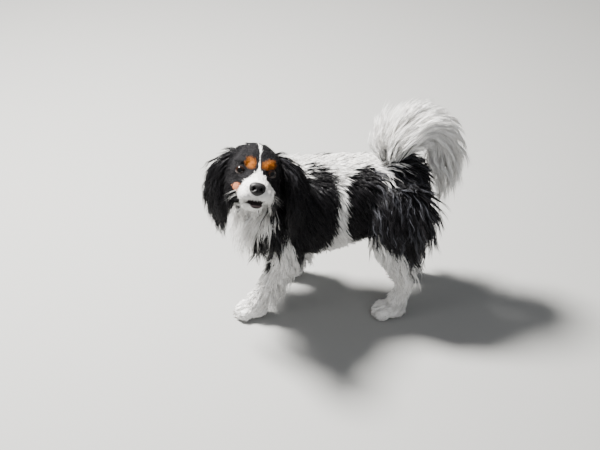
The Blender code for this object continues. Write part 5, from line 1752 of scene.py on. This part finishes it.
class SPANIEL_OT_whiskers(bpy.types.Operator):
    """Set the whiskers in the lips"""

    bl_idname = "spaniel.whiskers"
    bl_label = "Whiskers"

    def execute(self, context):
        longest = context.scene.spaniel_sizes.whisker_length
        rng = np.random.default_rng(77)
        roots, ways, lengths = [], [], []
        for s in (-1, 1):
            for x, z, number, share in WHISKER_ROWS:
                for k in range(number):
                    roots.append((x - 0.005 * k, s * 0.0230, z + rng.uniform(-0.001, 0.001)))
                    ways.append((rng.uniform(-0.45, -0.05), s, rng.uniform(-0.75, -0.15)))
                    lengths.append(longest * share * rng.uniform(0.65, 1.0))
        roots, ways = by_matrix(HEAD, roots), unit(np.array(ways)) @ HEAD[:3, :3].T
        near, looks, _ = pelt().nearest(roots)
        lengths = np.array(lengths)[:, None, None]
        t = np.linspace(0, 1, 7)[None, :, None]
        path = (near - looks * 0.001)[:, None] + ways[:, None] * lengths * t
        path = path + np.array((0, 0, -0.34)) * lengths * t**2
        facing = np.repeat(looks[:, None], 7, axis=1)
        rings = 5
        strands = path[:, (0, 1, 2, 3, 4, 6)]
        points = lock_grid(strands, facing, np.full(len(path), 0.00034), np.zeros(len(path)), rings)
        faces = lock_faces(rings)[None] + (np.arange(len(path)) * (rings * 3 + 1))[:, None, None]
        whiskers = mesh_object("whiskers", (points + ORIGIN).reshape(-1, 3), faces.reshape(-1, 3), flip_check=False)
        tint_vertices(whiskers, np.tile((0.62, 0.61, 0.59), (len(points) * (rings * 3 + 1), 1)))
        dress(whiskers, coat_material("whisker_hair", 900.0, 0.3, 0.35, 0.0))
        return {"FINISHED"}


CAMERA_ELEVATION = 35.0
CAMERA_DISTANCE = 2.0
CAMERA_LENS = 69.0
CAMERA_TARGET = (-0.072, 0.0, 0.155)


def area_light(name, at, target, size, power, colour):
    light = bpy.data.lights.new(name, "AREA")
    light.shape = "DISK"
    light.size = size
    light.energy = power
    light.color = colour
    obj = bpy.data.objects.new(name, light)
    obj.location = at
    obj.rotation_mode = "QUATERNION"
    obj.rotation_quaternion = (Vector(target) - Vector(at)).to_track_quat("-Z", "Y")
    bpy.context.scene.collection.objects.link(obj)
    return obj


class SPANIEL_OT_stage(bpy.types.Operator):
    """Set the floor, the lights and the camera"""

    bl_idname = "spaniel.stage"
    bl_label = "Stage"

    def execute(self, context):
        scene = context.scene
        half = 6.0
        corners = [(-half, -half, 0), (half, -half, 0), (half, half, 0), (-half, half, 0)]
        mesh = bpy.data.meshes.new("floor")
        mesh.from_pydata(corners, [], [(0, 1, 2, 3)])
        floor = bpy.data.objects.new("floor", mesh)
        scene.collection.objects.link(floor)
        material, _, _, shader = shader_of("pale_floor")
        shader.inputs["Base Color"].default_value = (*scene.spaniel_colours.floor, 1)
        shader.inputs["Roughness"].default_value = 0.9
        mesh.materials.append(material)

        target = Vector(CAMERA_TARGET) + Vector(ORIGIN)
        area_light("key", target + Vector((-0.85, 0.45, 1.75)), target, 0.50, 340.0, (1.0, 0.98, 0.95))
        fill = area_light("fill", target + Vector((0.7, -1.8, 1.3)), target, 1.8, 18.0, (0.93, 0.96, 1.0))
        side = area_light("side", target + Vector((-1.7, -0.9, 0.8)), target, 1.2, 11.0, (1.0, 1.0, 1.0))
        fill.visible_glossy = side.visible_glossy = False
        world = bpy.data.worlds.new("studio")
        world.use_nodes = True
        world.node_tree.nodes["Background"].inputs["Color"].default_value = (0.93, 0.95, 1.0, 1)
        world.node_tree.nodes["Background"].inputs["Strength"].default_value = 0.25
        scene.world = world

        tilt = math.radians(CAMERA_ELEVATION)
        camera = bpy.data.cameras.new("camera")
        camera.lens = CAMERA_LENS
        camera.sensor_width = 36.0
        camera.clip_start = 0.05
        view = bpy.data.objects.new("camera", camera)
        view.location = target + Vector((0, -math.cos(tilt), math.sin(tilt))) * CAMERA_DISTANCE
        view.rotation_euler = (math.pi / 2 - tilt, 0, 0)
        scene.collection.objects.link(view)
        scene.camera = view
        return {"FINISHED"}


class SPANIEL_PT_panel(bpy.types.Panel):
    """Spaniel tools in the 3D view's sidebar"""

    bl_label = "Spaniel"
    bl_idname = "SPANIEL_PT_panel"
    bl_space_type = "VIEW_3D"
    bl_region_type = "UI"
    bl_category = "Spaniel"

    def draw(self, context):
        layout = self.layout
        for group in (context.scene.spaniel_sizes, context.scene.spaniel_colours):
            for name in group.bl_rna.properties.keys():
                if name not in ("rna_type", "name"):
                    layout.prop(group, name)
        for operator in OPERATORS:
            layout.operator(operator.bl_idname)


OPERATORS = (
    SPANIEL_OT_stage,
    SPANIEL_OT_skin,
    SPANIEL_OT_coat,
    SPANIEL_OT_eyes,
    SPANIEL_OT_nose,
    SPANIEL_OT_claws,
    SPANIEL_OT_whiskers,
)
CLASSES = (SpanielSizes, SpanielColours, *OPERATORS, SPANIEL_PT_panel)


def register():
    for cls in CLASSES:
        bpy.utils.register_class(cls)
    bpy.types.Scene.spaniel_sizes = bpy.props.PointerProperty(type=SpanielSizes)
    bpy.types.Scene.spaniel_colours = bpy.props.PointerProperty(type=SpanielColours)


def unregister():
    del bpy.types.Scene.spaniel_colours
    del bpy.types.Scene.spaniel_sizes
    for cls in reversed(CLASSES):
        bpy.utils.unregister_class(cls)


def main():
    register()
    bpy.ops.spaniel.stage()
    bpy.ops.spaniel.skin()
    bpy.ops.spaniel.coat()
    bpy.ops.spaniel.eyes()
    bpy.ops.spaniel.nose()
    bpy.ops.spaniel.claws()
    bpy.ops.spaniel.whiskers()


if __name__ == "__main__":
    main()
